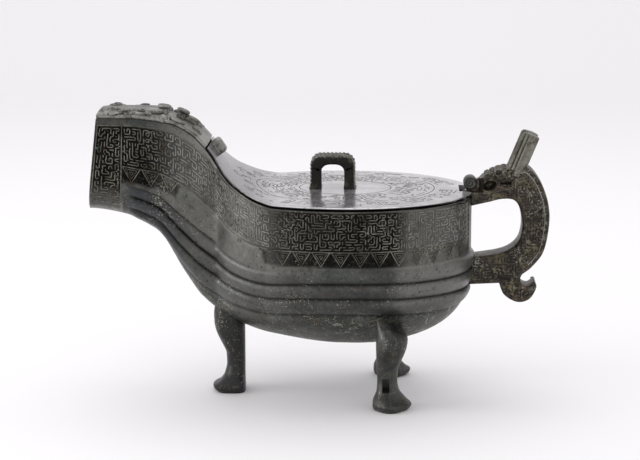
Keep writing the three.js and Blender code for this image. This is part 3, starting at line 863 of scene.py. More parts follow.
def leg(x, y, turn, taper):
    """A leg at a place, turned in degrees; its outer side draws in by the share `taper` at the top."""
    rings = []
    turn = math.radians(turn)
    shares = np.concatenate([[0, 0.012, 0.03, 0.06, 0.09, 0.12, 0.15], np.linspace(0.18, LEG_TOP, 54)])
    for share in shares:
        reach, aside = leg_ring(share)
        drawn_in = 1 - taper * ease(TAPER_START, LEG_TOP, share)
        reach = (reach + SHANK_DEPTH / 2) * drawn_in - SHANK_DEPTH / 2
        px = WIDEST_X + x + reach * math.cos(turn) - aside * math.sin(turn)
        py = y + reach * math.sin(turn) + aside * math.cos(turn)
        rings.append(np.stack([px, py, np.full(len(px), share * BELLY_HEIGHT)], -1))
    return loft("leg", rings)


def cavity():
    """The hollow of the bowl as a body, used to trim what would stand up through the wall."""
    places = np.concatenate([np.linspace(SEAM - 0.02, 0, 40, endpoint=False), np.linspace(0, BOWL_BACK, 30)])
    shares = np.linspace(0, 0.7, 24)
    lengthwise, upward = np.meshgrid(places, shares, indexing="ij")
    wall = on_skin(lengthwise, upward, np.full(lengthwise.shape, -WALL * 0.6))
    lid_side = wall[:, -1] * [1, 0, 1]
    return placed("cavity", mirrored_net("cavity", np.concatenate([wall, lid_side[:, None]], 1)))


leg_places = [(-FRONT_LEG, 0, 180, 0.0), (BACK_LEG, -BACK_LEG_SPREAD, -BACK_LEG_TURN, BACK_LEG_TAPER),
              (BACK_LEG, BACK_LEG_SPREAD, BACK_LEG_TURN, BACK_LEG_TAPER)]
legs = joined("legs", [leg(*place) for place in leg_places], leg_patina)
cut_from(legs, cavity())
cut_from(legs, block("core_hole", CORE_HOLE_LOW, CORE_HOLE_HIGH))
leg_points = np.empty(len(legs.data.vertices) * 3)
legs.data.vertices.foreach_get("co", leg_points)
in_front = (leg_points[::3] < 0).astype(float)
# Painted shade darkens the front leg.
legs.data.attributes.new("painted_shade", "FLOAT", "POINT").data.foreach_set("value", FRONT_LEG_SHADE * in_front)
belongs(legs, "cast_bronze", "vessel")

# %% [markdown]
# The handle is a strap with a dragon's profile. A flat curve, given thickness and a rounded bevel, is the
# quickest way to such a form: its outline is drawn once from the side, as splines through a few points in
# millimetres, which start where the strap leaves the bowl.

# %% Handle strap
HANDLE_EDGE = 0.0028
HANDLE_ROOT = -0.003
grip_line = [(19, -49.3), (31, -45), (38.5, -37), (40.8, -24), (38.5, -11), (33.5, -4), (24, -3.2),
             (14, -5.6)]
head_line = [(4, 12.3), (18.5, 20.5), (28, 22.6), (37, 24)]
back_line = [(47, 21.5), (57, 7.7), (62.52, -10), (62.72, -28), (58.5, -48), (49, -60.8), (41, -67.5),
             (41, -74), (46.5, -76.5), (52, -72.3)]
tail_line = [(53.5, -78), (48, -87.5), (37.9, -90.1), (27, -84), (22.6, -74)]
MILLIMETRE = 0.001
STRAP_WELD = 1e-5


def splined(start, points, steps=8):
    """Points on a smooth spline that goes on from a start; the start itself is left out."""
    nodes = np.array([start, *points], float)
    padded = np.vstack([nodes[:1], nodes, nodes[-1:]])
    curve = []
    for i in range(len(nodes) - 1):
        before, a, b, after = padded[i:i + 4]
        for step in range(1, steps + 1):
            t = step / steps
            curve.append(0.5 * ((2 * a) + (b - before) * t + (2 * before - 5 * a + 4 * b - after) * t ** 2
                                + (3 * a - before - 3 * b + after) * t ** 3))
    return [tuple(point) for point in curve]


root = HANDLE_ROOT / MILLIMETRE
handle_outline = [(root, -52.5)]
handle_outline += splined(handle_outline[-1], grip_line)
handle_outline += [(root, -9.5), (root, -0.5), (-5.5, 2.5), (-4, 10)]
handle_outline += splined(handle_outline[-1], head_line)
back_start = len(handle_outline) - 1
handle_outline += splined(handle_outline[-1], back_line)
back_end = len(handle_outline)
handle_outline += splined(handle_outline[-1], tail_line) + [(root, -75.3)]


def strap(name, outline, width, edge, middle):
    """A plate with rounded edges from an outline in millimetres, standing in the XZ plane at `middle`."""
    flat = bpy.data.curves.new(name, "CURVE")
    flat.dimensions = "2D"
    flat.fill_mode = "BOTH"
    flat.extrude = width / 2 - edge
    flat.bevel_depth = edge
    flat.offset = -edge
    flat.bevel_resolution = 3
    spline = flat.splines.new("POLY")
    spline.points.add(len(outline) - 1)
    for point, (x, z) in zip(spline.points, outline):
        point.co = (x * MILLIMETRE, z * MILLIMETRE, 0, 1)
    spline.use_cyclic_u = True
    holder = placed(name, flat)
    mesh = evaluated(holder)
    bpy.data.objects.remove(holder)
    places = np.zeros(len(mesh.vertices) * 3)
    mesh.vertices.foreach_get("co", places)
    x, z, y = places.reshape(-1, 3).T
    mesh.vertices.foreach_set("co", (np.stack([x, -y, z], -1) + middle).ravel())
    return cleaned(mesh, STRAP_WELD)


handle_middle = from_handle(0, 0, 0)
handle_mesh = strap("handle", handle_outline, HANDLE_WIDTH, HANDLE_EDGE, handle_middle)
print("handle outline of", len(handle_outline), "points")

# %% [markdown]
# Small rounded parts, like the snout, the knobs and the brows, are lofts too: rings of one radius after
# another along an axis. The axis and its side are given as directions, so that one function serves parts
# that lie across the handle and parts that stand on the sloping cover. The dragon's upper lip curls up
# into a roll that lies across the end of its snout and is narrower than the head.

# %% Turned parts and the curled snout
def turned(name, profile, origin, axis, side=(0, 1, 0), squash=(1, 1), sides=28):
    """A body turned from (distance, radius) pairs round an axis; squash flattens its two directions."""
    axis = unit(np.array(axis, float))
    side = unit(np.array(side, float) - np.dot(side, axis) * axis)
    third = np.cross(axis, side)
    angle = np.arange(sides) / sides * 2 * math.pi
    rim = np.cos(angle)[:, None] * side * squash[0] + np.sin(angle)[:, None] * third * squash[1]
    return loft(name, [np.asarray(origin) + axis * distance + rim * radius for distance, radius in profile])


def domed(radius, height, steps=7):
    """A profile that closes over in a quarter circle."""
    angles = np.linspace(0, math.pi / 2 * 0.97, steps)
    return [(height * math.sin(a), radius * math.cos(a)) for a in angles]


CURL_WIDTH = 0.0105
snout_centre = from_handle(SNOUT_PLACE[0], 0, SNOUT_PLACE[1])
half = CURL_WIDTH / 2
snout_profile = [(-half, 0.0046), (-half + 0.0005, 0.0052), (-half + 0.0014, SNOUT_RADIUS),
                 (half - 0.0014, SNOUT_RADIUS), (half - 0.0005, 0.0052), (half, 0.0046)]
snout = turned("snout", snout_profile, snout_centre, (0, 1, 0), side=(1, 0, 0), sides=48)
print("snout at", np.round(snout_centre, 4))

# %% [markdown]
# The head is worked like a carver's model. Wedges taken off both sides leave a narrow snout, and a slot
# and a round hollow on each side make the eye and the cheek. Brows, the round locks of the mane and the
# curls across the crown are small turned bodies set on the surface. The cuts come first, while the strap is
# still one closed body, because an exact cut needs that.

# %% Dragon's head
SNOUT_WEDGE = [(0.0092, 0.0123), (-0.009, 0.0123), (-0.009, 0.003), (0.0052, 0.003)]
WEDGE_HEIGHTS = (0.0022, 0.03)
EYE_PLACE = (0.0265, 0.011)
EYE_HALF_LENGTH = 0.0045
EYE_HALF_HEIGHT = 0.0018
EYE_DEPTH = 0.0068
CHEEK_PLACE = (0.0136, 0.0082)
CHEEK_DEPTH = 0.0075
BROW_PLACE = (0.025, 0.0152)
BROW_TILT = 12
MANE = [(0.0118, 0.0142), (0.0166, 0.0168), (0.0214, 0.0188), (0.0264, 0.0198)]
CROWN = [(0.0112, 0.0169, 32), (0.0158, 0.0192, 26), (0.0205, 0.021, 18), (0.0252, 0.0221, 12)]
CROWN_ROW = (-0.0085, -0.003, 0.003, 0.0085)
LOCK_RADIUS = 0.0022


def wedge(side):
    """What is taken off beside the snout."""
    corners = [from_handle(x, side * y, z) for z in WEDGE_HEIGHTS for x, y in SNOUT_WEDGE]
    faces = [(0, 1, 2, 3), (7, 6, 5, 4), (0, 4, 5, 1), (1, 5, 6, 2), (2, 6, 7, 3), (3, 7, 4, 0)]
    return placed("wedge", welded("wedge", corners, faces))


def eye(side):
    middle = from_handle(EYE_PLACE[0], side * HANDLE_WIDTH / 2, EYE_PLACE[1])
    reach = np.array([EYE_HALF_LENGTH, EYE_DEPTH, EYE_HALF_HEIGHT])
    return block("eye", middle - reach, middle + reach)


def cheek(side):
    profile = [(-0.001, 0.0062), *domed(0.006, CHEEK_DEPTH)]
    place = from_handle(CHEEK_PLACE[0], side * HANDLE_WIDTH / 2, CHEEK_PLACE[1])
    hollow = turned("cheek", profile, place, (0, -side, 0), side=(1, 0, 0.35), squash=(1, 0.68))
    return placed("cheek", hollow)


def brow(side):
    tilt = math.radians(BROW_TILT)
    profile = [(-0.0062, 0.0006), (-0.0055, 0.0014), (-0.004, 0.002), (0.004, 0.002), (0.0055, 0.0014),
               (0.0062, 0.0006)]
    place = from_handle(BROW_PLACE[0], side * HANDLE_WIDTH / 2, BROW_PLACE[1])
    return turned("brow", profile, place, (math.cos(tilt), 0, math.sin(tilt)), sides=20)


def locks():
    """Locks of the mane on both sides, and rows of flat curls across the crown."""
    bodies = []
    lock = [(-0.001, LOCK_RADIUS), (0, LOCK_RADIUS), *domed(LOCK_RADIUS, 0.0021)]
    curl = [(-0.0012, LOCK_RADIUS), (0, LOCK_RADIUS), *domed(LOCK_RADIUS, 0.0008)]
    for side in (-1, 1):
        for x, z in MANE:
            place = from_handle(x, side * (HANDLE_WIDTH / 2 - 0.001), z)
            bodies.append(turned("lock", lock, place, (0, side, 0), side=(1, 0, 0), sides=20))
    for x, z, lean in CROWN:
        axis = (-math.sin(math.radians(lean)), 0, math.cos(math.radians(lean)))
        for y in CROWN_ROW:
            bodies.append(turned("curl", curl, from_handle(x, y, z), axis, sides=18))
    return bodies


grip = as_object("grip", handle_mesh, handle_patina)
for side in (-1, 1):
    for tool in (wedge(side), eye(side), cheek(side)):
        cut_from(grip, tool)
print("cut strap", len(grip.data.polygons), "faces")
head_bodies = [brow(-1), brow(1), *locks()]
handle = joined("dragon_handle", [grip.data, *head_bodies], handle_patina)
belongs(as_object("dragon_snout", snout, cast_patina), "cast_bronze")
belongs(handle, "cast_bronze", "vessel")

# %% [markdown]
# Each horn is a square post that leans back, turned by half a right angle so that its ribbed face looks
# outwards. It is lofted from nearly square rings, and three long ribs lie on its face.

# %% Horns
HORN_LENGTH = 0.036
HORN_FACE = 0.012
HORN_DEPTH = 0.009
HORN_LEAN = 22
HORN_YAW = 45
HORN_SPREAD = 0.007
HORN_PLACE = (0.0408, 0.0335)
HORN_RIB_RADIUS = 0.0017
HORN_RIB_PITCH = 0.00375
HORN_RINGS = [(-0.5, 0), (-0.47, 0), (-0.3, 0), (0, 0), (0.3, 0), (0.47, 0), (0.49, 0.0004), (0.5, 0.0011)]


def turned_frame(yaw, lean):
    """Three directions: along a horn's face, square to it, and up the horn."""
    turned_aside = Matrix.Rotation(math.radians(yaw), 3, "Z")
    leant_back = Matrix.Rotation(math.radians(lean), 3, "Y")
    return np.array(leant_back @ turned_aside).T


def rounded_square(width, depth, corner, steps=4):
    """Corners of a rectangle with rounded corners, anticlockwise."""
    ring = []
    for quarter, (sx, sy) in enumerate([(1, 1), (-1, 1), (-1, -1), (1, -1)]):
        centre = np.array([sx * (width / 2 - corner), sy * (depth / 2 - corner)])
        for angle in (quarter + np.linspace(0, 1, steps)) * math.pi / 2:
            ring.append(centre + corner * np.array([math.cos(angle), math.sin(angle)]))
    return np.array(ring)


def horn(side):
    face, square, upward = turned_frame(side * HORN_YAW, HORN_LEAN)
    middle = from_handle(HORN_PLACE[0], side * HORN_SPREAD, HORN_PLACE[1])
    rings = []
    for height, inset in HORN_RINGS:
        ring = rounded_square(HORN_FACE - 2 * inset, HORN_DEPTH - 2 * inset, 0.0012)
        rings.append(middle + upward * HORN_LENGTH * height + ring[:, :1] * face + ring[:, 1:] * square)
    bodies = [loft("horn", rings)]
    rib_half = HORN_LENGTH / 2 - HORN_RIB_RADIUS
    rib_profile = [(-rib_half - 0.001, 0.0006), (-rib_half, 0.0013), (-rib_half + 0.001, HORN_RIB_RADIUS),
                   (rib_half - 0.001, HORN_RIB_RADIUS), (rib_half, 0.0013), (rib_half + 0.001, 0.0006)]
    for i in (-1, 0, 1):
        foot = middle + face * i * HORN_RIB_PITCH + square * side * HORN_DEPTH / 2
        bodies.append(turned("rib", rib_profile, foot, upward, side=face, sides=16))
    return bodies


horns = joined("dragon_horns", [*horn(-1), *horn(1)], line_patina)
belongs(horns, "cast_bronze", "vessel")

# %% [markdown]
# The loop on the lid is a flat strap bent into an arch, with small flared feet. It is lofted along its own
# middle line: every ring is the strap's section, turned to stand square to the line.

# %% Lid loop
LOOP_PLACE = -0.0102
LOOP_WIDTH = 0.0348
LOOP_OPENING = 0.019
LOOP_HEIGHT = 0.028
LOOP_BAR = 0.0066
LOOP_DEPTH = 0.02
LOOP_CORNER = 0.0075
LOOP_INNER_CORNER = 0.0062


def arch_line(steps=9):
    """Pairs of outer and inner points of the arch in side view, from foot to foot."""
    outer = LOOP_WIDTH / 2
    inner = LOOP_OPENING / 2
    under = LOOP_HEIGHT - LOOP_BAR
    legs_up = [0.0, 0.0014, 0.0032, 0.006, 0.01, 0.0145, LOOP_HEIGHT - LOOP_CORNER - 0.002]
    flare = [0.0016, 0.0007, 0.0002, 0, 0, 0, 0]
    half = [((outer + f, z), (inner - f * 0.6, z)) for z, f in zip(legs_up, flare)]
    for angle in np.linspace(0, math.pi / 2, steps):
        past = 1 - math.cos(angle)
        left = 1 - math.sin(angle)
        half.append(((outer - LOOP_CORNER * past, LOOP_HEIGHT - LOOP_CORNER * left),
                     (inner - LOOP_INNER_CORNER * past, under - LOOP_INNER_CORNER * left)))
    half.append(((0.004, LOOP_HEIGHT + 0.0001), (0.003, under + 0.0002)))
    return [((-o[0], o[1]), (-i[0], i[1])) for o, i in half] + half[::-1]


def loop_rings():
    rings = []
    base = np.array([WIDEST_X + LOOP_PLACE, 0, LID_TOP])
    for (ox, oz), (ix, iz) in arch_line():
        outer = np.array([ox, 0, oz])
        inner = np.array([ix, 0, iz])
        middle = (outer + inner) / 2
        across = outer - inner
        ring = rounded_square(np.linalg.norm(across), LOOP_DEPTH, 0.0016)
        rings.append(base + middle + ring[:, :1] * unit(across) + ring[:, 1:] * np.array([0, 1, 0]))
    return rings


loop = as_object("lid_loop", loft("lid_loop", loop_rings()), loop_patina)
belongs(loop, "smooth_bronze")

# %% [markdown]
# A beast's face lies on the cover of the spout, in low relief: a raised plate with two nose lobes at the
# mouth, a cheek bar, ears, a lump on each edge, two knobs, a step and a crest. All of them stand square to
# the sloping cover, so one function gives the place and the three directions there, and rounded bodies,
# bars and knobs are built from those.

# %% Forms of the mask
SLAT_CORNER = 0.0012
KNOB_RADIUS = 0.0056
KNOB_HEIGHT = 0.0066


def above(along, side, height, crown=COVER_RISE):
    """A place over the cover, with the directions ahead, across and up there."""
    sides = np.array([abs(side)])
    point = over_edge(np.array([along]), sides, np.array([crown * (1 - side * side) + height]))[0]
    point[1] *= -1 if side > 0 else 1
    up = edge_normal(along)
    return point, np.array([up[2], 0, -up[0]]), np.array([0, 1, 0]), up


def pebble(along, side, size, sink=0.0, turn=0, power=2.4, crown=COVER_RISE):
    """A rounded body with half sizes ahead, across and up. A power over 2 makes it fuller."""
    centre, ahead, across, up = above(along, side, -sink, crown)
    turn = math.radians(turn)
    ahead, across = (math.cos(turn) * ahead + math.sin(turn) * across,
                     -math.sin(turn) * ahead + math.cos(turn) * across)
    rings = []
    for height in np.sin(np.linspace(-0.97, 0.97, 13) * math.pi / 2):
        width = (1 - abs(height) ** power) ** (1 / power)
        angle = np.arange(32) / 32 * 2 * math.pi
        a = np.sign(np.cos(angle)) * np.abs(np.cos(angle)) ** (2 / power) * size[0] * width
        b = np.sign(np.sin(angle)) * np.abs(np.sin(angle)) ** (2 / power) * size[1] * width
        rings.append(centre + a[:, None] * ahead + b[:, None] * across + up * height * size[2])
    return loft("pebble", rings)


def slat(along, size, height):
    """A bar across the cover, with rounded long edges; size is ahead, across and up."""
    edge, ahead, _, up = above(along, 1, 0)
    reach = min(1, size[1] / 2 / abs(edge[1]))
    ring = rounded_square(size[0], size[2], SLAT_CORNER)
    section = ring[:, :1] * ahead + ring[:, 1:] * up
    return loft("slat", [above(along, side * reach, height)[0] + section for side in np.linspace(-1, 1, 21)])


def knob(along):
    foot, _, _, up = above(along, 0, 0)
    profile = [(-0.002, 0.0048), (0.0, 0.0046), (0.001, 0.0039), (0.0034, 0.0037), (0.0042, 0.0045),
               (0.0046, 0.0052), (0.005, KNOB_RADIUS), (0.0058, KNOB_RADIUS), (0.0064, 0.0052),
               (KNOB_HEIGHT, 0.0045), (KNOB_HEIGHT - 0.0005, 0.0042), (KNOB_HEIGHT - 0.0005, 0.0026),
               (KNOB_HEIGHT - 0.0001, 0.0022), (KNOB_HEIGHT, 0.0006)]
    return turned("knob", profile, foot, up, side=(0, 1, 0), sides=30)


# %% [markdown]
# The face is set out by the distance of each part from the mouth. What stands on both sides is in one list:
# distance, side, half sizes ahead, across and up, how deep it is sunk, and how far it is turned.

# %% Mask on the spout
NOSE = 0.0155
NOSE_BAR = 0.0245
EYE = 0.0305
FACE_PLATE = 0.036
CHEEK = 0.0362
EAR = 0.0455
KNOBS = (0.0615, 0.0755)
LUMP = 0.0635
HORN_LOBE = 0.0745
CREST = 0.0845
STEP_BAR = 0.0895
PAIRED_PARTS = [
    (NOSE, 0.6, (0.0078, 0.0108, 0.0022), 0.0, 8),
    (EAR, 0.62, (0.0082, 0.0062, 0.0022), 0.0, -14),
    (LUMP, 0.84, (0.004, 0.0046, 0.0042), 0.0012, 0),
    (EYE, 0.7, (0.0021, 0.0024, 0.0016), 0.0012, 0),
    (HORN_LOBE, 0.7, (0.0068, 0.0062, 0.0018), 0.0, -10),
]
mask_bodies = [
    pebble(MOUTH + place, side * share, size, sink=sink, turn=side * turn)
    for side in (-1, 1) for place, share, size, sink, turn in PAIRED_PARTS
]
mask_bodies += [
    pebble(MOUTH + FACE_PLATE, 0, (0.0262, 0.0135, 0.0024), sink=0.0004, power=5),
    slat(MOUTH + CHEEK, (0.0034, 0.048, 0.004), -0.0009),
    slat(MOUTH + NOSE_BAR, (0.0018, 0.044, 0.0022), -0.0001),
    *(knob(MOUTH + place) for place in KNOBS),
    slat(MOUTH + STEP_BAR, (0.009, 0.034, 0.004), -0.0004),
    pebble(MOUTH + CREST, 0, (0.0086, 0.0046, 0.0046), sink=-0.0005, power=2.2),
]
mask = joined("beast_mask", mask_bodies, mask_patina)
belongs(mask, "cast_bronze", "vessel")

# %% [markdown]
# The lid's front end carries the other half of the crest, a worn block with a rounded flat top on a thin
# plate, so that crest and block read as one ridge across the joint.

# %% Tongue on the lid
TONGUE_SETBACK = 0.0049
tongue_bodies = [
    pebble(SEAM + TONGUE_SETBACK, 0, (0.0066, 0.0062, 0.0054), sink=-0.0016, power=5, crown=LID_CROWN),
    pebble(SEAM + TONGUE_SETBACK, 0, (0.0068, 0.0074, 0.0016), power=3, crown=LID_CROWN),
]
tongue = joined("lid_tongue", tongue_bodies, mask_patina)
belongs(tongue, "smooth_bronze", "lid")

# %% [markdown]
# The ornament is squared scrollwork: raised lines that run straight, turn, coil and hook into each other
# without ever touching. A founder pressed it into the mould from a carved stamp. Here a lattice is filled
# by walks: each runs a few points ahead, turns to its own hand, and stops where it is hemmed in. Points
# that are left alone become granules. Only the walk's seed is random, so it comes out the same each time.

# %% Scrollwork on a lattice
RUNS = ((3, 3, 2, 2, 1), (2, 3, 1, 1), (4, 1, 3), (1, 3, 2, 1), (3, 2, 2, 1), (2, 2, 2), (5, 2, 1))
HEADINGS = ((1, 0), (0, 1), (-1, 0), (0, -1))
LONGEST_LINE = 13
CORNER_CUT = 0.38
CORNER_PULL = 0.12


def scrolls(free, seed):
    """Lines over the free points of a lattice, each a list of its points, and the points left alone."""
    pick = np.random.default_rng(seed)
    free = free.copy()
    starts = sorted(((i // 4, j // 4, pick.random(), i, j) for i, j in zip(*np.nonzero(free))))
    lines = []
    alone = []
    for *_, i, j in starts:
        if not free[i, j]:
            continue
        line = [(i, j)]
        free[i, j] = False
        heading = HEADINGS[pick.integers(4)]
        hand = (-1, 1)[pick.integers(2)]
        for run in RUNS[pick.integers(len(RUNS))] * 2:
            for _ in range(run):
                a = line[-1][0] + heading[0]
                b = line[-1][1] + heading[1]
                if not (0 <= a < free.shape[0] and 0 <= b < free.shape[1] and free[a, b]):
                    break
                line.append((a, b))
                free[a, b] = False
            heading = (-hand * heading[1], hand * heading[0])
            if len(line) > LONGEST_LINE:
                break
        if len(line) > 1:
            lines.append(line)
        else:
            alone.append((i, j))
    return lines, alone


def softened(line):
    """Rounds the corners of a line; ends and straight points stay."""
    line = np.array(line, float)
    points = [line[0]]
    for before, corner, after in zip(line[:-2], line[1:-1], line[2:]):
        if np.allclose(corner - before, after - corner):
            points.append(corner)
        else:
            points.append(mix(corner, before, CORNER_CUT))
            points.append(corner + CORNER_PULL * (before + after - 2 * corner))
            points.append(mix(corner, after, CORNER_CUT))
    points.append(line[-1])
    return np.array(points)


sample_lines, sample_alone = scrolls(np.ones((8, 8), bool), 1)
print("a patch of 8 by 8 points:", len(sample_lines), "lines and", len(sample_alone), "granules")

# %% [markdown]
# Geometry Nodes make what repeats. Both trees begin and end alike: they take loose points or edges, a few
# sizes and a material, and whatever they have grown is made real and painted before it goes out.

# %% Frame of a node tree
def new_tree(name, sizes):
    """An empty tree with named sizes as its inputs."""
    tree = bpy.data.node_groups.new(name, "GeometryNodeTree")
    tree.interface.new_socket("Geometry", in_out="INPUT", socket_type="NodeSocketGeometry")
    for label, size in sizes.items():
        tree.interface.new_socket(label, in_out="INPUT", socket_type="NodeSocketFloat").default_value = size
    tree.interface.new_socket("Material", in_out="INPUT", socket_type="NodeSocketMaterial")
    tree.interface.new_socket("Geometry", in_out="OUTPUT", socket_type="NodeSocketGeometry")
    return tree


def wired(tree, wires):
    for source, target in wires:
        tree.links.new(source, target)


def ended(tree, grown_geometry, material):
    """Makes what has grown real, paints it and sends it out."""
    realized = tree.nodes.new("GeometryNodeRealizeInstances")
    painted = tree.nodes.new("GeometryNodeSetMaterial")
    result = tree.nodes.new("NodeGroupOutput")
    wired(tree, [
        (grown_geometry, realized.inputs["Geometry"]),
        (realized.outputs["Geometry"], painted.inputs["Geometry"]),
        (material, painted.inputs["Material"]),
        (painted.outputs["Geometry"], result.inputs["Geometry"]),
    ])
    return tree


# %% [markdown]
# A line of the lattice becomes a ridge. Each of its points carries a vector, `lift`, which says which way is
# up there. The tree turns the edges into curves, leans their normals to that vector and sweeps a low oval
# section along them. The section's size is an input, so that the same tree makes the frieze, the lid's
# hair-fine marks and the cord on the loop.

# %% Ridges by Geometry Nodes
def ridge_tree():
    tree = new_tree("ridges", {"Half width": 0.0006, "Half height": 0.0005})
    given = tree.nodes.new("NodeGroupInput").outputs
    curves = tree.nodes.new("GeometryNodeMeshToCurve")
    lift = tree.nodes.new("GeometryNodeInputNamedAttribute")
    lift.data_type = "FLOAT_VECTOR"
    lift.inputs["Name"].default_value = "lift"
    lean = tree.nodes.new("GeometryNodeSetCurveNormal")
    lean.mode = "FREE"
    circle = tree.nodes.new("GeometryNodeCurvePrimitiveCircle")
    circle.inputs["Resolution"].default_value = 6
    circle.inputs["Radius"].default_value = 1
    size = tree.nodes.new("ShaderNodeCombineXYZ")
    oval = tree.nodes.new("GeometryNodeTransform")
    sweep = tree.nodes.new("GeometryNodeCurveToMesh")
    sweep.inputs["Fill Caps"].default_value = True
    wired(tree, [
        (given["Geometry"], curves.inputs["Mesh"]),
        (curves.outputs["Curve"], lean.inputs["Curve"]),
        (lift.outputs["Attribute"], lean.inputs["Normal"]),
        (given["Half height"], size.inputs["X"]),
        (given["Half width"], size.inputs["Y"]),
        (circle.outputs["Curve"], oval.inputs["Geometry"]),
        (size.outputs["Vector"], oval.inputs["Scale"]),
        (lean.outputs["Curve"], sweep.inputs["Curve"]),
        (oval.outputs["Geometry"], sweep.inputs["Profile Curve"]),
    ])
    return ended(tree, sweep.outputs["Mesh"], given["Material"])


ridge_nodes = ridge_tree()
print("tree", ridge_nodes.name, "with", len(ridge_nodes.nodes), "nodes")

# %% [markdown]
# A granule is a ball of few faces, because there are many of them and each is a millimetre across. The tree
# sets one on every loose point.

# %% Granules by Geometry Nodes
def granule_tree():
    tree = new_tree("granules", {"Radius": 0.0007})
    given = tree.nodes.new("NodeGroupInput").outputs
    points = tree.nodes.new("GeometryNodeMeshToPoints")
    ball = tree.nodes.new("GeometryNodeMeshIcoSphere")
    ball.inputs["Subdivisions"].default_value = 1
    balls = tree.nodes.new("GeometryNodeInstanceOnPoints")
    wired(tree, [
        (given["Geometry"], points.inputs["Mesh"]),
        (given["Radius"], ball.inputs["Radius"]),
        (points.outputs["Points"], balls.inputs["Points"]),
        (ball.outputs["Mesh"], balls.inputs["Instance"]),
    ])
    return ended(tree, balls.outputs["Instances"], given["Material"])


granule_nodes = granule_tree()
print("tree", granule_nodes.name, "with", len(granule_nodes.nodes), "nodes")

# %% [markdown]
# A tree is run once and its result is kept as a plain mesh, so nothing has to be worked out again later.
# Ridges take paths: the points of each, and the direction it rises in at each point. What lies on one side
# of the vessel is mirrored to the other.

# %% Running the trees
RIDGE_SHARP_ANGLE = math.radians(62)


def grown(name, tree, points, edges, lifts, settings):
    """Runs a tree on loose points and edges and keeps its result as a plain mesh."""
    mesh = bpy.data.meshes.new(name)
    mesh.from_pydata(points, edges, [])
    mesh.attributes.new("lift", "FLOAT_VECTOR", "POINT").data.foreach_set("vector", np.ravel(lifts))
    piece = placed(name, mesh)
    modifier = piece.modifiers.new("grow", "NODES")
    modifier.node_group = tree
    for item in tree.interface.items_tree:
        if item.name in settings:
            modifier[item.identifier] = settings[item.name]
    result = evaluated(piece)
    result.polygons.foreach_set("use_smooth", [True] * len(result.polygons))
    result.set_sharp_from_angle(angle=RIDGE_SHARP_ANGLE)
    piece.modifiers.clear()
    piece.data = result
    bpy.data.meshes.remove(mesh)
    return piece


def ridged(name, paths, material, half_width, half_height):
    """Ridges along paths; each path is a pair: its points, and the direction it rises in at each."""
    edges = []
    start = 0
    for points, _ in paths:
        edges += [(start + i, start + i + 1) for i in range(len(points) - 1)]
        start += len(points)
    points = np.concatenate([path[0] for path in paths])
    lifts = np.concatenate([path[1] for path in paths])
    settings = {"Half width": half_width, "Half height": half_height, "Material": material}
    return grown(name, ridge_nodes, points, edges, lifts, settings)


def mirrored(paths):
    """The same paths on both sides of the middle plane."""
    flip = np.array([1, -1, 1])
    return paths + [(points * flip, lifts * flip) for points, lifts in paths]


# %% [markdown]
# The frieze is laid out by its length along the wall and by its share of the height between two lines,
# so the pattern keeps its scale where the wall turns and slopes. Ridges end level with the plain metal:
# they stand in a ground that was sunk for them. A hand that cut the stamp was never quite steady, so the
# points are shifted a little.

# %% Laying out the frieze
RIDGE_SINK = 0.00052
LATTICE = 0.00228
UNEVENNESS = 0.06
samples = np.concatenate([np.linspace(MOUTH, 0, 700, endpoint=False), np.linspace(0, BOWL_BACK, 400)])
middle_line = skin(samples, mix(frieze_top(samples), frieze_bottom(samples), 0.5))
lengths = np.concatenate([[0], np.cumsum(np.linalg.norm(np.diff(middle_line, axis=0), axis=1))])


def laid(lengthwise, up_of, down):
    """Points on the wall from a length along the frieze and a share down between two lines."""
    along = np.interp(lengthwise, lengths, samples)
    top, bottom = up_of(along)
    up = mix(top, bottom, np.asarray(down, float))
    return on_skin(along, up, np.full(np.shape(up), -RIDGE_SINK)), outward(along, up)


def frieze_span(along):
    return frieze_top(along), frieze_bottom(along)


def panel_span(along):
    return frieze_top(along), np.full(np.shape(along), PANEL_BOTTOM + 0.02)


def field(start, end, span, rows, seed, inset):
    """Scroll lines and granules between two lengths, and inset from the upper and lower line."""
    columns = round((end - start) / LATTICE) + 1
    lines, alone = scrolls(np.ones((columns, rows), bool), seed)

    def place(points):
        lengthwise = mix(start, end, points[:, 0] / (columns - 1))
        return laid(lengthwise, span, mix(inset, 1 - inset, points[:, 1] / (rows - 1)))

    hand = np.random.default_rng(seed)
    drawn = [softened(line) for line in lines]
    drawn = [line + hand.normal(0, UNEVENNESS, line.shape) for line in drawn]
    return [place(line) for line in drawn], [place(np.array([point], float)) for point in alone]


def straight(start, end, span, down_start, down_end, steps):
    share = np.linspace(0, 1, steps)
    return laid(mix(start, end, share), span, mix(down_start, down_end, share))


print("the frieze's wall is", round(float(lengths[-1]), 3), "m long")

# %% [markdown]
# At the mouth the frieze drops down into a tall panel. Plain lines frame both, and one more marks the joint
# of the moulds near the handle. Where the wall was rubbed, on the breast and beside the handle, the same
# scrolls are paler, so they are a piece of their own with another finish.

# %% Frieze and panel
MOUTH_STRIP = 0.0019
HANDLE_CLEAR = 0.031
MOULD_JOINT = 0.0505
RUBBED_PART = (-0.143, -0.058)
FINE_RIDGE = (0.00049, 0.0005)
FRAME_GAP = 0.0022
JOINT_GAP = 0.002
PANEL_ROWS = 29
PANEL_INSET = 0.035
FRIEZE_ROWS = 14
FRIEZE_INSET = 0.072
panel_start = MOUTH_STRIP
panel_end = np.interp(MOUTH + PANEL_LENGTH, samples, lengths)
frieze_end = lengths[-1] - HANDLE_CLEAR
panel_lines, panel_dots = field(panel_start + FRAME_GAP, panel_end - FRAME_GAP, panel_span,
                                PANEL_ROWS, 3, PANEL_INSET)
joint = np.interp(BOWL_BACK * (1 - math.acos(MOULD_JOINT / BOWL_BACK) / (math.pi / 2)), samples, lengths)
front_lines, front_dots = field(panel_end + 0.0024, joint - JOINT_GAP, frieze_span,
                                FRIEZE_ROWS, 11, FRIEZE_INSET)
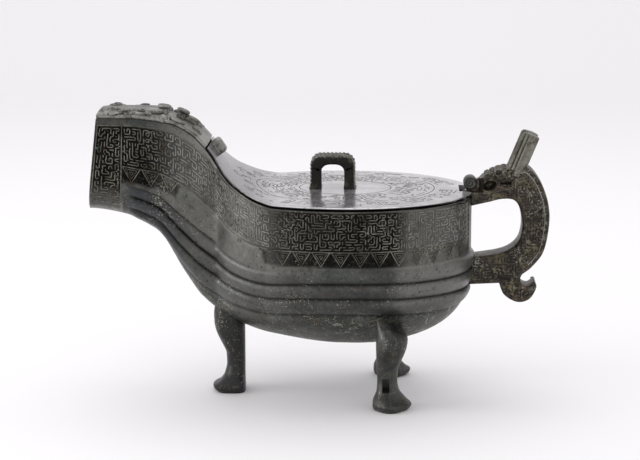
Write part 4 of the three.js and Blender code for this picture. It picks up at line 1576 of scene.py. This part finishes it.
back_lines, back_dots = field(joint + JOINT_GAP, frieze_end - FRAME_GAP, frieze_span,
                              FRIEZE_ROWS, 12, FRIEZE_INSET)
in_rub = [RUBBED_PART[0] < points[:, 0].mean() - WIDEST_X < RUBBED_PART[1] for points, _ in front_lines]
rubbed_lines = back_lines + [path for path, hit in zip(front_lines, in_rub) if hit]
frieze_lines = [path for path, hit in zip(front_lines, in_rub) if not hit]
frieze_dots = front_dots + back_dots
frames = [
    straight(panel_start, frieze_end, frieze_span, 0.0, 0.0, 260),
    straight(panel_end, frieze_end, frieze_span, 1.0, 1.0, 230),
    straight(panel_start, panel_start, panel_span, 0.0, 1.0, 30),
    straight(panel_end, panel_end, panel_span, 0.0, 1.0, 30),
    straight(joint, joint, frieze_span, 0.0, 1.0, 14),
    straight(frieze_end, frieze_end, frieze_span, 0.0, 1.0, 14),
]
drawn_lines = mirrored(panel_lines + frieze_lines + frames)
belongs(ridged("frieze_scrolls", drawn_lines, line_patina, *FINE_RIDGE), "cast_bronze")
belongs(ridged("rubbed_scrolls", mirrored(rubbed_lines), rubbed_patina, *FINE_RIDGE), "cast_bronze")

# %% [markdown]
# Below the frieze hang triangles, each with a second outline inside it and a small curl. None are left on
# the bare breast. Each is drawn by its length along the wall and by its share down, like the frieze.

# %% Hanging triangles
TRIANGLE_PITCH = 0.0157
TRIANGLE_FILL = 0.93


def triangle_span(along):
    return frieze_bottom(along), triangle_bottom(along)


def triangle(middle):
    half = TRIANGLE_PITCH / 2 * TRIANGLE_FILL
    shapes = [
        [(-half, 0), (-half * 0.5, 0.47), (0, 0.95), (half * 0.5, 0.47), (half, 0)],
        [(-half * 0.62, 0.13), (0, 0.7), (half * 0.62, 0.13), (-half * 0.62, 0.13)],
        [(-half * 0.25, 0.28), (half * 0.22, 0.28), (half * 0.05, 0.46), (-half * 0.1, 0.4)],
    ]
    return [laid(middle + np.array(shape)[:, 0], triangle_span, np.array(shape)[:, 1]) for shape in shapes]


triangle_count = int((frieze_end - panel_end) / TRIANGLE_PITCH)
triangle_paths = []
for i in range(triangle_count):
    middle = panel_end + (i + 0.5) * (frieze_end - panel_end) / triangle_count
    if not BARE_BREAST[0] < np.interp(middle, lengths, samples) < BARE_BREAST[1]:
        triangle_paths += triangle(middle)
triangles = ridged("hanging_triangles", mirrored(triangle_paths), line_patina, 0.0005, 0.0005)
belongs(triangles, "cast_bronze")

# %% [markdown]
# The lattice points that no line has reached are filled with granules, one small ball on each.

# %% Granules
GRANULE_RADIUS = 0.0005
dots = mirrored(panel_dots + frieze_dots)
dot_points = np.concatenate([points for points, _ in dots])
dot_lifts = np.concatenate([lifts for _, lifts in dots])
balls = {"Radius": GRANULE_RADIUS, "Material": line_patina}
belongs(grown("granules", granule_nodes, dot_points, [], dot_lifts, balls), "cast_bronze")

# %% [markdown]
# At the end of the frieze a ladder of short bars dresses the root of the handle.

# %% Ladder at the handle root
LADDER_WIDTH = 0.009
LADDER_HEIGHT = 0.031
LADDER_PITCH = 0.0037


def ladder():
    start = frieze_end + 0.0014
    end = start + LADDER_WIDTH
    rungs = int(LADDER_HEIGHT / LADDER_PITCH)
    paths = [straight(end, end, frieze_span, 0.0, 1.32, 20)]
    for i in range(rungs):
        down = (i + 0.6) / rungs
        paths.append(straight(start + 0.0012, end - 0.0016, frieze_span, down, down, 3))
    return paths


belongs(ridged("handle_root_bars", mirrored(ladder()), line_patina, 0.0007, 0.0005), "cast_bronze")

# %% [markdown]
# The lid carries bands of much finer scrolls between plain ovals. They follow ellipses round the loop, so
# they are laid out by angle and by a share of the bowl's size, and their points drop onto the lid's top.
# Part of the lines has worn away, more of them in the outer band.

# %% Bands on the lid
MARK_SINK = 0.00004


def on_lid(x, y, height):
    """Points on the lid's top and the directions square to it."""
    bent = np.minimum(x, 0)
    back = BOWL_HALF_WIDTH * np.sqrt(np.clip(1 - (x / BOWL_BACK) ** 2, 1e-4, 1))
    side = np.clip(np.abs(y) / np.where(x > 0, back, half_width(bent)), 0, 1)
    normal = edge_normal(x)
    point = np.stack([x + WIDEST_X, y, edge_z(bent)], -1)
    return point + normal * (LID_CROWN * (1 - side ** 2) + height)[..., None], normal


def round_lid(angle, share):
    angle, share = np.broadcast_arrays(np.asarray(angle, float), np.asarray(share, float))
    x = BOWL_BACK * share * np.cos(angle)
    y = BOWL_HALF_WIDTH * share * np.sin(angle)
    return on_lid(x, y, np.full(x.shape, -MARK_SINK))


def lid_band(inner, outer, pitch, seed, kept=1.0, gap=0.0):
    """Scrolls between two ellipses, given as shares of the bowl. kept is the share of the lines that
    wear has left, and gap is an angle that stays free at the notch."""
    middle = (inner + outer) / 2
    radius = math.sqrt((BOWL_BACK ** 2 + BOWL_HALF_WIDTH ** 2) / 2) * middle
    turn = 2 * math.pi - 2 * gap
    columns = round(turn * radius / pitch)
    rows = round((outer - inner) * (BOWL_BACK + BOWL_HALF_WIDTH) / 2 / pitch) + 1
    lines, _ = scrolls(np.ones((columns, rows), bool), seed)
    chance = np.random.default_rng(seed)
    paths = []
    for points in [softened(line) for line in lines if chance.random() < kept]:
        angle = gap + turn * (points[:, 0] + 0.5) / columns
        paths.append(round_lid(angle, mix(inner, outer, points[:, 1] / (rows - 1))))
    return paths


def lid_ring(share):
    return round_lid(np.linspace(0, 2 * math.pi, 150), share)


lid_paths = lid_band(0.75, 0.88, 0.003, 5, kept=0.62, gap=0.12) + lid_band(0.4, 0.66, 0.0027, 8, kept=0.8)
lid_paths += [lid_ring(0.7), lid_ring(0.36)]
lid_marks = ridged("lid_marks", lid_paths, mark_patina, 0.00045, 0.00016)
belongs(lid_marks, "smooth_bronze", "lid")

# %% [markdown]
# Cords are cast along the outside of the loop: pairs of strands that twist round each other. A strand is
# a ridge whose path winds about the loop's outline.

# %% Cords on the loop
STRAND = 0.00085
STRAND_RISE = 0.00075
STRAND_SWING = 0.0013
STRAND_SINK = 0.0004
CORD_PITCH = 0.0066
CORD_PLACES = (-0.0072, -0.0024, 0.0024, 0.0072)


def cords():
    outline = np.array([outer for outer, _ in arch_line()])
    steps = np.concatenate([[0], np.cumsum(np.linalg.norm(np.diff(outline, axis=0), axis=1))])
    length = np.linspace(0.001, steps[-1] - 0.001, 190)
    x, z = (np.interp(length, steps, outline[:, i]) for i in (0, 1))
    tangent = unit(np.stack([np.gradient(x), np.gradient(z)], -1))
    outward_x = -tangent[:, 1]
    outward_z = tangent[:, 0]
    paths = []
    for number, place in enumerate(CORD_PLACES):
        for strand in (0, math.pi):
            twist = (-1) ** number * length / CORD_PITCH * 2 * math.pi + strand
            rise = STRAND_RISE * np.sin(twist) - STRAND_SINK
            aside = place + STRAND_SWING * np.cos(twist)
            points = np.stack([x + outward_x * rise, aside, z + outward_z * rise], -1)
            lifts = np.stack([outward_x, 0 * x, outward_z], -1)
            paths.append((points + [WIDEST_X + LOOP_PLACE, 0, LID_TOP], lifts))
    return paths


belongs(ridged("loop_cords", cords(), mask_patina, STRAND, STRAND), "smooth_bronze")

# %% [markdown]
# On the handle the same scrolls fill the dragon's body. The lattice lies in the plane of the strap, in
# millimetres, and a point is free where it is well inside the outline, below the head and off the spine.

# %% Dragon's skin
SCALE_LATTICE = 2.3
SCALE_MARGIN = 2.5
SCALE_SINK = 0.0002
SPINE_INSET = 4.0
SPINE_CLEAR = 1.6
SPINE_LOW_END = -62
outline_array = np.array(handle_outline)


def inside_outline(points, margin):
    """Whether points lie inside the handle's outline, and at least margin away from it."""
    a = outline_array
    b = np.roll(outline_array, -1, axis=0)
    p = points[:, None]
    crosses = (a[:, 1] > p[..., 1]) != (b[:, 1] > p[..., 1])
    rise = np.where(b[:, 1] == a[:, 1], 1e-9, b[:, 1] - a[:, 1])
    reach = a[:, 0] + (p[..., 1] - a[:, 1]) / rise * (b[:, 0] - a[:, 0])
    inside = (crosses & (p[..., 0] < reach)).sum(1) % 2 == 1
    along = np.clip(((p - a) * (b - a)).sum(-1) / np.maximum(((b - a) ** 2).sum(-1), 1e-9), 0, 1)
    distance = np.linalg.norm(a + along[..., None] * (b - a) - p, axis=-1).min(1)
    return inside & (distance > margin)


def on_handle(points):
    """Places on the near face of the strap from millimetres in its plane."""
    x, z = np.asarray(points, float).T * MILLIMETRE
    place = from_handle(x, -HANDLE_WIDTH / 2 + SCALE_SINK, z)
    return place, np.broadcast_to([0.0, -1.0, 0.0], place.shape)


def scales():
    low, high = outline_array.min(0), outline_array.max(0)
    columns, rows = np.ceil((high - low) / SCALE_LATTICE).astype(int)
    i, j = np.meshgrid(np.arange(columns), np.arange(rows), indexing="ij")
    points = low + SCALE_LATTICE * np.stack([i, j], -1).reshape(-1, 2)
    free = inside_outline(points, SCALE_MARGIN)
    head = (points[:, 1] > -2) & (points[:, 0] < 31)
    back = outline_array[back_start:back_end]
    near_back = np.linalg.norm(points[:, None] - back, axis=-1).min(1) < SPINE_INSET + SPINE_CLEAR
    free &= ~head & ~(near_back & (points[:, 1] > SPINE_LOW_END))
    lines, _ = scrolls(free.reshape(columns, rows), 4)
    return [on_handle(low + SCALE_LATTICE * softened(line)) for line in lines]


jaw_lines = [on_handle(line) for line in (
    [(5, 1.5), (12, 0.5), (20, 2.5), (29, 4.5)],
    [(19.5, 14.5), (21, 9), (28, 7.2), (33, 8.5), (33.5, 13)],
    [(33, 4), (35.5, 8), (36.5, 14), (34, 19)],
)]
handle_relief = ridged("dragon_scales", mirrored(scales() + jaw_lines), loop_patina, 0.00052, 0.0005)
belongs(handle_relief, "cast_bronze")

# %% [markdown]
# A rubbed line runs down inside the dragon's back, with bars from it towards the edge, and a dark spiral
# lies on each end of the curled snout.

# %% Spine and snout spirals
SPINE_PITCH = 6.6
SPINE_END = -61
BAR_START = 2.6
SPIRAL_RADII = (0.0041, 0.0007)
SPIRAL_TURN = 3.4 * math.pi


def spine():
    """A line inside the back edge, and bars from it to the edge."""
    back = outline_array[back_start:back_end]
    back = back[back[:, 1] > SPINE_END][2:]
    direction = unit(np.gradient(back, axis=0))
    inward = np.stack([direction[:, 1], -direction[:, 0]], -1)
    paths = [on_handle(back + inward * SPINE_INSET)]
    steps = np.concatenate([[0], np.cumsum(np.linalg.norm(np.diff(back, axis=0), axis=1))])
    for length in np.arange(SPINE_PITCH / 2, steps[-1], SPINE_PITCH):
        foot = np.array([np.interp(length, steps, back[:, k]) for k in (0, 1)])
        way = np.array([np.interp(length, steps, inward[:, k]) for k in (0, 1)])
        paths.append(on_handle([foot + way * BAR_START, foot + way * SPINE_INSET]))
    return paths


def snout_spiral():
    """A spiral on the end of the snout."""
    turn = np.linspace(0, SPIRAL_TURN, 46)
    radius = mix(*SPIRAL_RADII, turn / turn[-1])
    place = from_handle(SNOUT_PLACE[0] + radius * np.cos(turn), -CURL_WIDTH / 2,
                        SNOUT_PLACE[1] + radius * np.sin(turn))
    return place, np.broadcast_to([0.0, -1.0, 0.0], place.shape)


belongs(ridged("dragon_spine", mirrored(spine()), rubbed_patina, 0.00045, 0.00045), "cast_bronze")
belongs(ridged("snout_spirals", mirrored([snout_spiral()]), loop_patina, 0.00045, 0.0004), "cast_bronze")

# %% [markdown]
# The lobes of the mask carry spirals: on the nose, on the ears and on the pair behind the knobs. Each lies
# over its lobe like a thread, lower at the rim than in the middle.

# %% Spirals on the mask
def spiral_on(along, side, radius, turns, height, hand, squash=0.8):
    """A spiral that lies over a lobe; its middle stands higher than its rim."""
    centre, ahead, across, up = above(along, side, height)
    turn = np.linspace(0, turns * 2 * math.pi, int(turns * 18))
    size = mix(radius, radius * 0.16, turn / turn[-1])
    offset = (size * np.cos(turn))[:, None] * ahead + (hand * size * np.sin(turn) * squash)[:, None] * across
    points = centre + offset - up * (0.0026 * (size / radius) ** 2)[:, None] * (radius / 0.008)
    return points, np.broadcast_to(up, points.shape)


mask_paths = []
for side in (-1, 1):
    mask_paths.append(spiral_on(MOUTH + NOSE, side * 0.52, 0.0076, 1.7, 0.0034, hand=side, squash=1.15))
    mask_paths.append(spiral_on(MOUTH + EAR, side * 0.62, 0.006, 1.4, 0.0033, hand=-side, squash=0.7))
    mask_paths.append(spiral_on(MOUTH + HORN_LOBE, side * 0.7, 0.005, 1.4, 0.0017, hand=side))
belongs(ridged("mask_spirals", mask_paths, mask_patina, 0.0005, 0.0005), "cast_bronze")

# %% [markdown]
# The stage is a pale floor that sweeps up behind the object, as on a photographer's table.

# %% Stage
def backdrop():
    """A floor that bends up into a wall behind the object."""
    radius = 0.9
    depth = 1.6
    line = [(-3.0, 0.0), (depth, 0.0)]
    for angle in np.linspace(0, math.pi / 2, 24)[1:]:
        line.append((depth + radius * math.sin(angle), radius * (1 - math.cos(angle))))
    line.append((depth + radius, 3.2))
    half = 4.0
    points = [(x, y, z) for y, z in line for x in (-half, half)]
    faces = [(2 * i, 2 * i + 1, 2 * i + 3, 2 * i + 2) for i in range(len(line) - 1)]
    mesh = bpy.data.meshes.new("studio_floor")
    mesh.from_pydata(points, [], faces)
    paper = bpy.data.materials.new("paper")
    paper.use_nodes = True
    shader = paper.node_tree.nodes["Principled BSDF"]
    shader.inputs["Base Color"].default_value = (0.93, 0.917, 0.93, 1)
    shader.inputs["Roughness"].default_value = 0.7
    shader.inputs["Specular IOR Level"].default_value = 0.25
    floor = as_object("studio_floor", mesh, paper)
    print("floor", 2 * half, "m wide")


backdrop()

# %% [markdown]
# Soft light comes from above and from the left, through a large panel each. The world adds an even grey,
# so that dark bronze has something to mirror from every side.

# %% Light
def panel(name, place, aim, size, power):
    light = bpy.data.lights.new(name, "AREA")
    light.shape = "RECTANGLE"
    light.size, light.size_y = size
    light.energy = power
    holder = placed(name, light)
    holder.location = place
    holder.rotation_euler = (Vector(aim) - Vector(place)).to_track_quat("-Z", "Y").to_euler()


world = bpy.data.worlds.new("studio")
world.use_nodes = True
world.node_tree.nodes["Background"].inputs["Color"].default_value = (1, 0.995, 1, 1)
world.node_tree.nodes["Background"].inputs["Strength"].default_value = 0.87
bpy.context.scene.world = world
panel("top_panel", (0.1, 0.35, 1.5), (0, 0, 0.1), (1.6, 1.2), 6)
panel("left_panel", (-1.5, -0.35, 0.4), (0, 0, 0.12), (0.9, 1.0), 9)
bpy.context.scene.view_settings.view_transform = "Standard"

# %% [markdown]
# The camera stands where the photographer's did: a little above the rim, well back, with a long lens.

# %% Camera
DISTANCE = 1.8
ELEVATION = 12
AZIMUTH = 1.8
FOCAL_PIXELS = 2169
FRAME_PIXELS = 640
aim = Vector((0.0005, 0, 0.138))
azimuth = math.radians(AZIMUTH)
elevation = math.radians(ELEVATION)
level = Vector((math.sin(azimuth), -math.cos(azimuth), 0))
back = level * math.cos(elevation) + Vector((0, 0, math.sin(elevation)))
lens = bpy.data.cameras.new("camera")
lens.sensor_width = 36
lens.lens = FOCAL_PIXELS * lens.sensor_width / FRAME_PIXELS
camera = placed("camera", lens)
camera.location = aim + back * DISTANCE
camera.rotation_euler = (-back).to_track_quat("-Z", "Y").to_euler()
bpy.context.scene.camera = camera
print("camera at", [round(value, 3) for value in camera.location], "with a lens of", round(lens.lens), "mm")
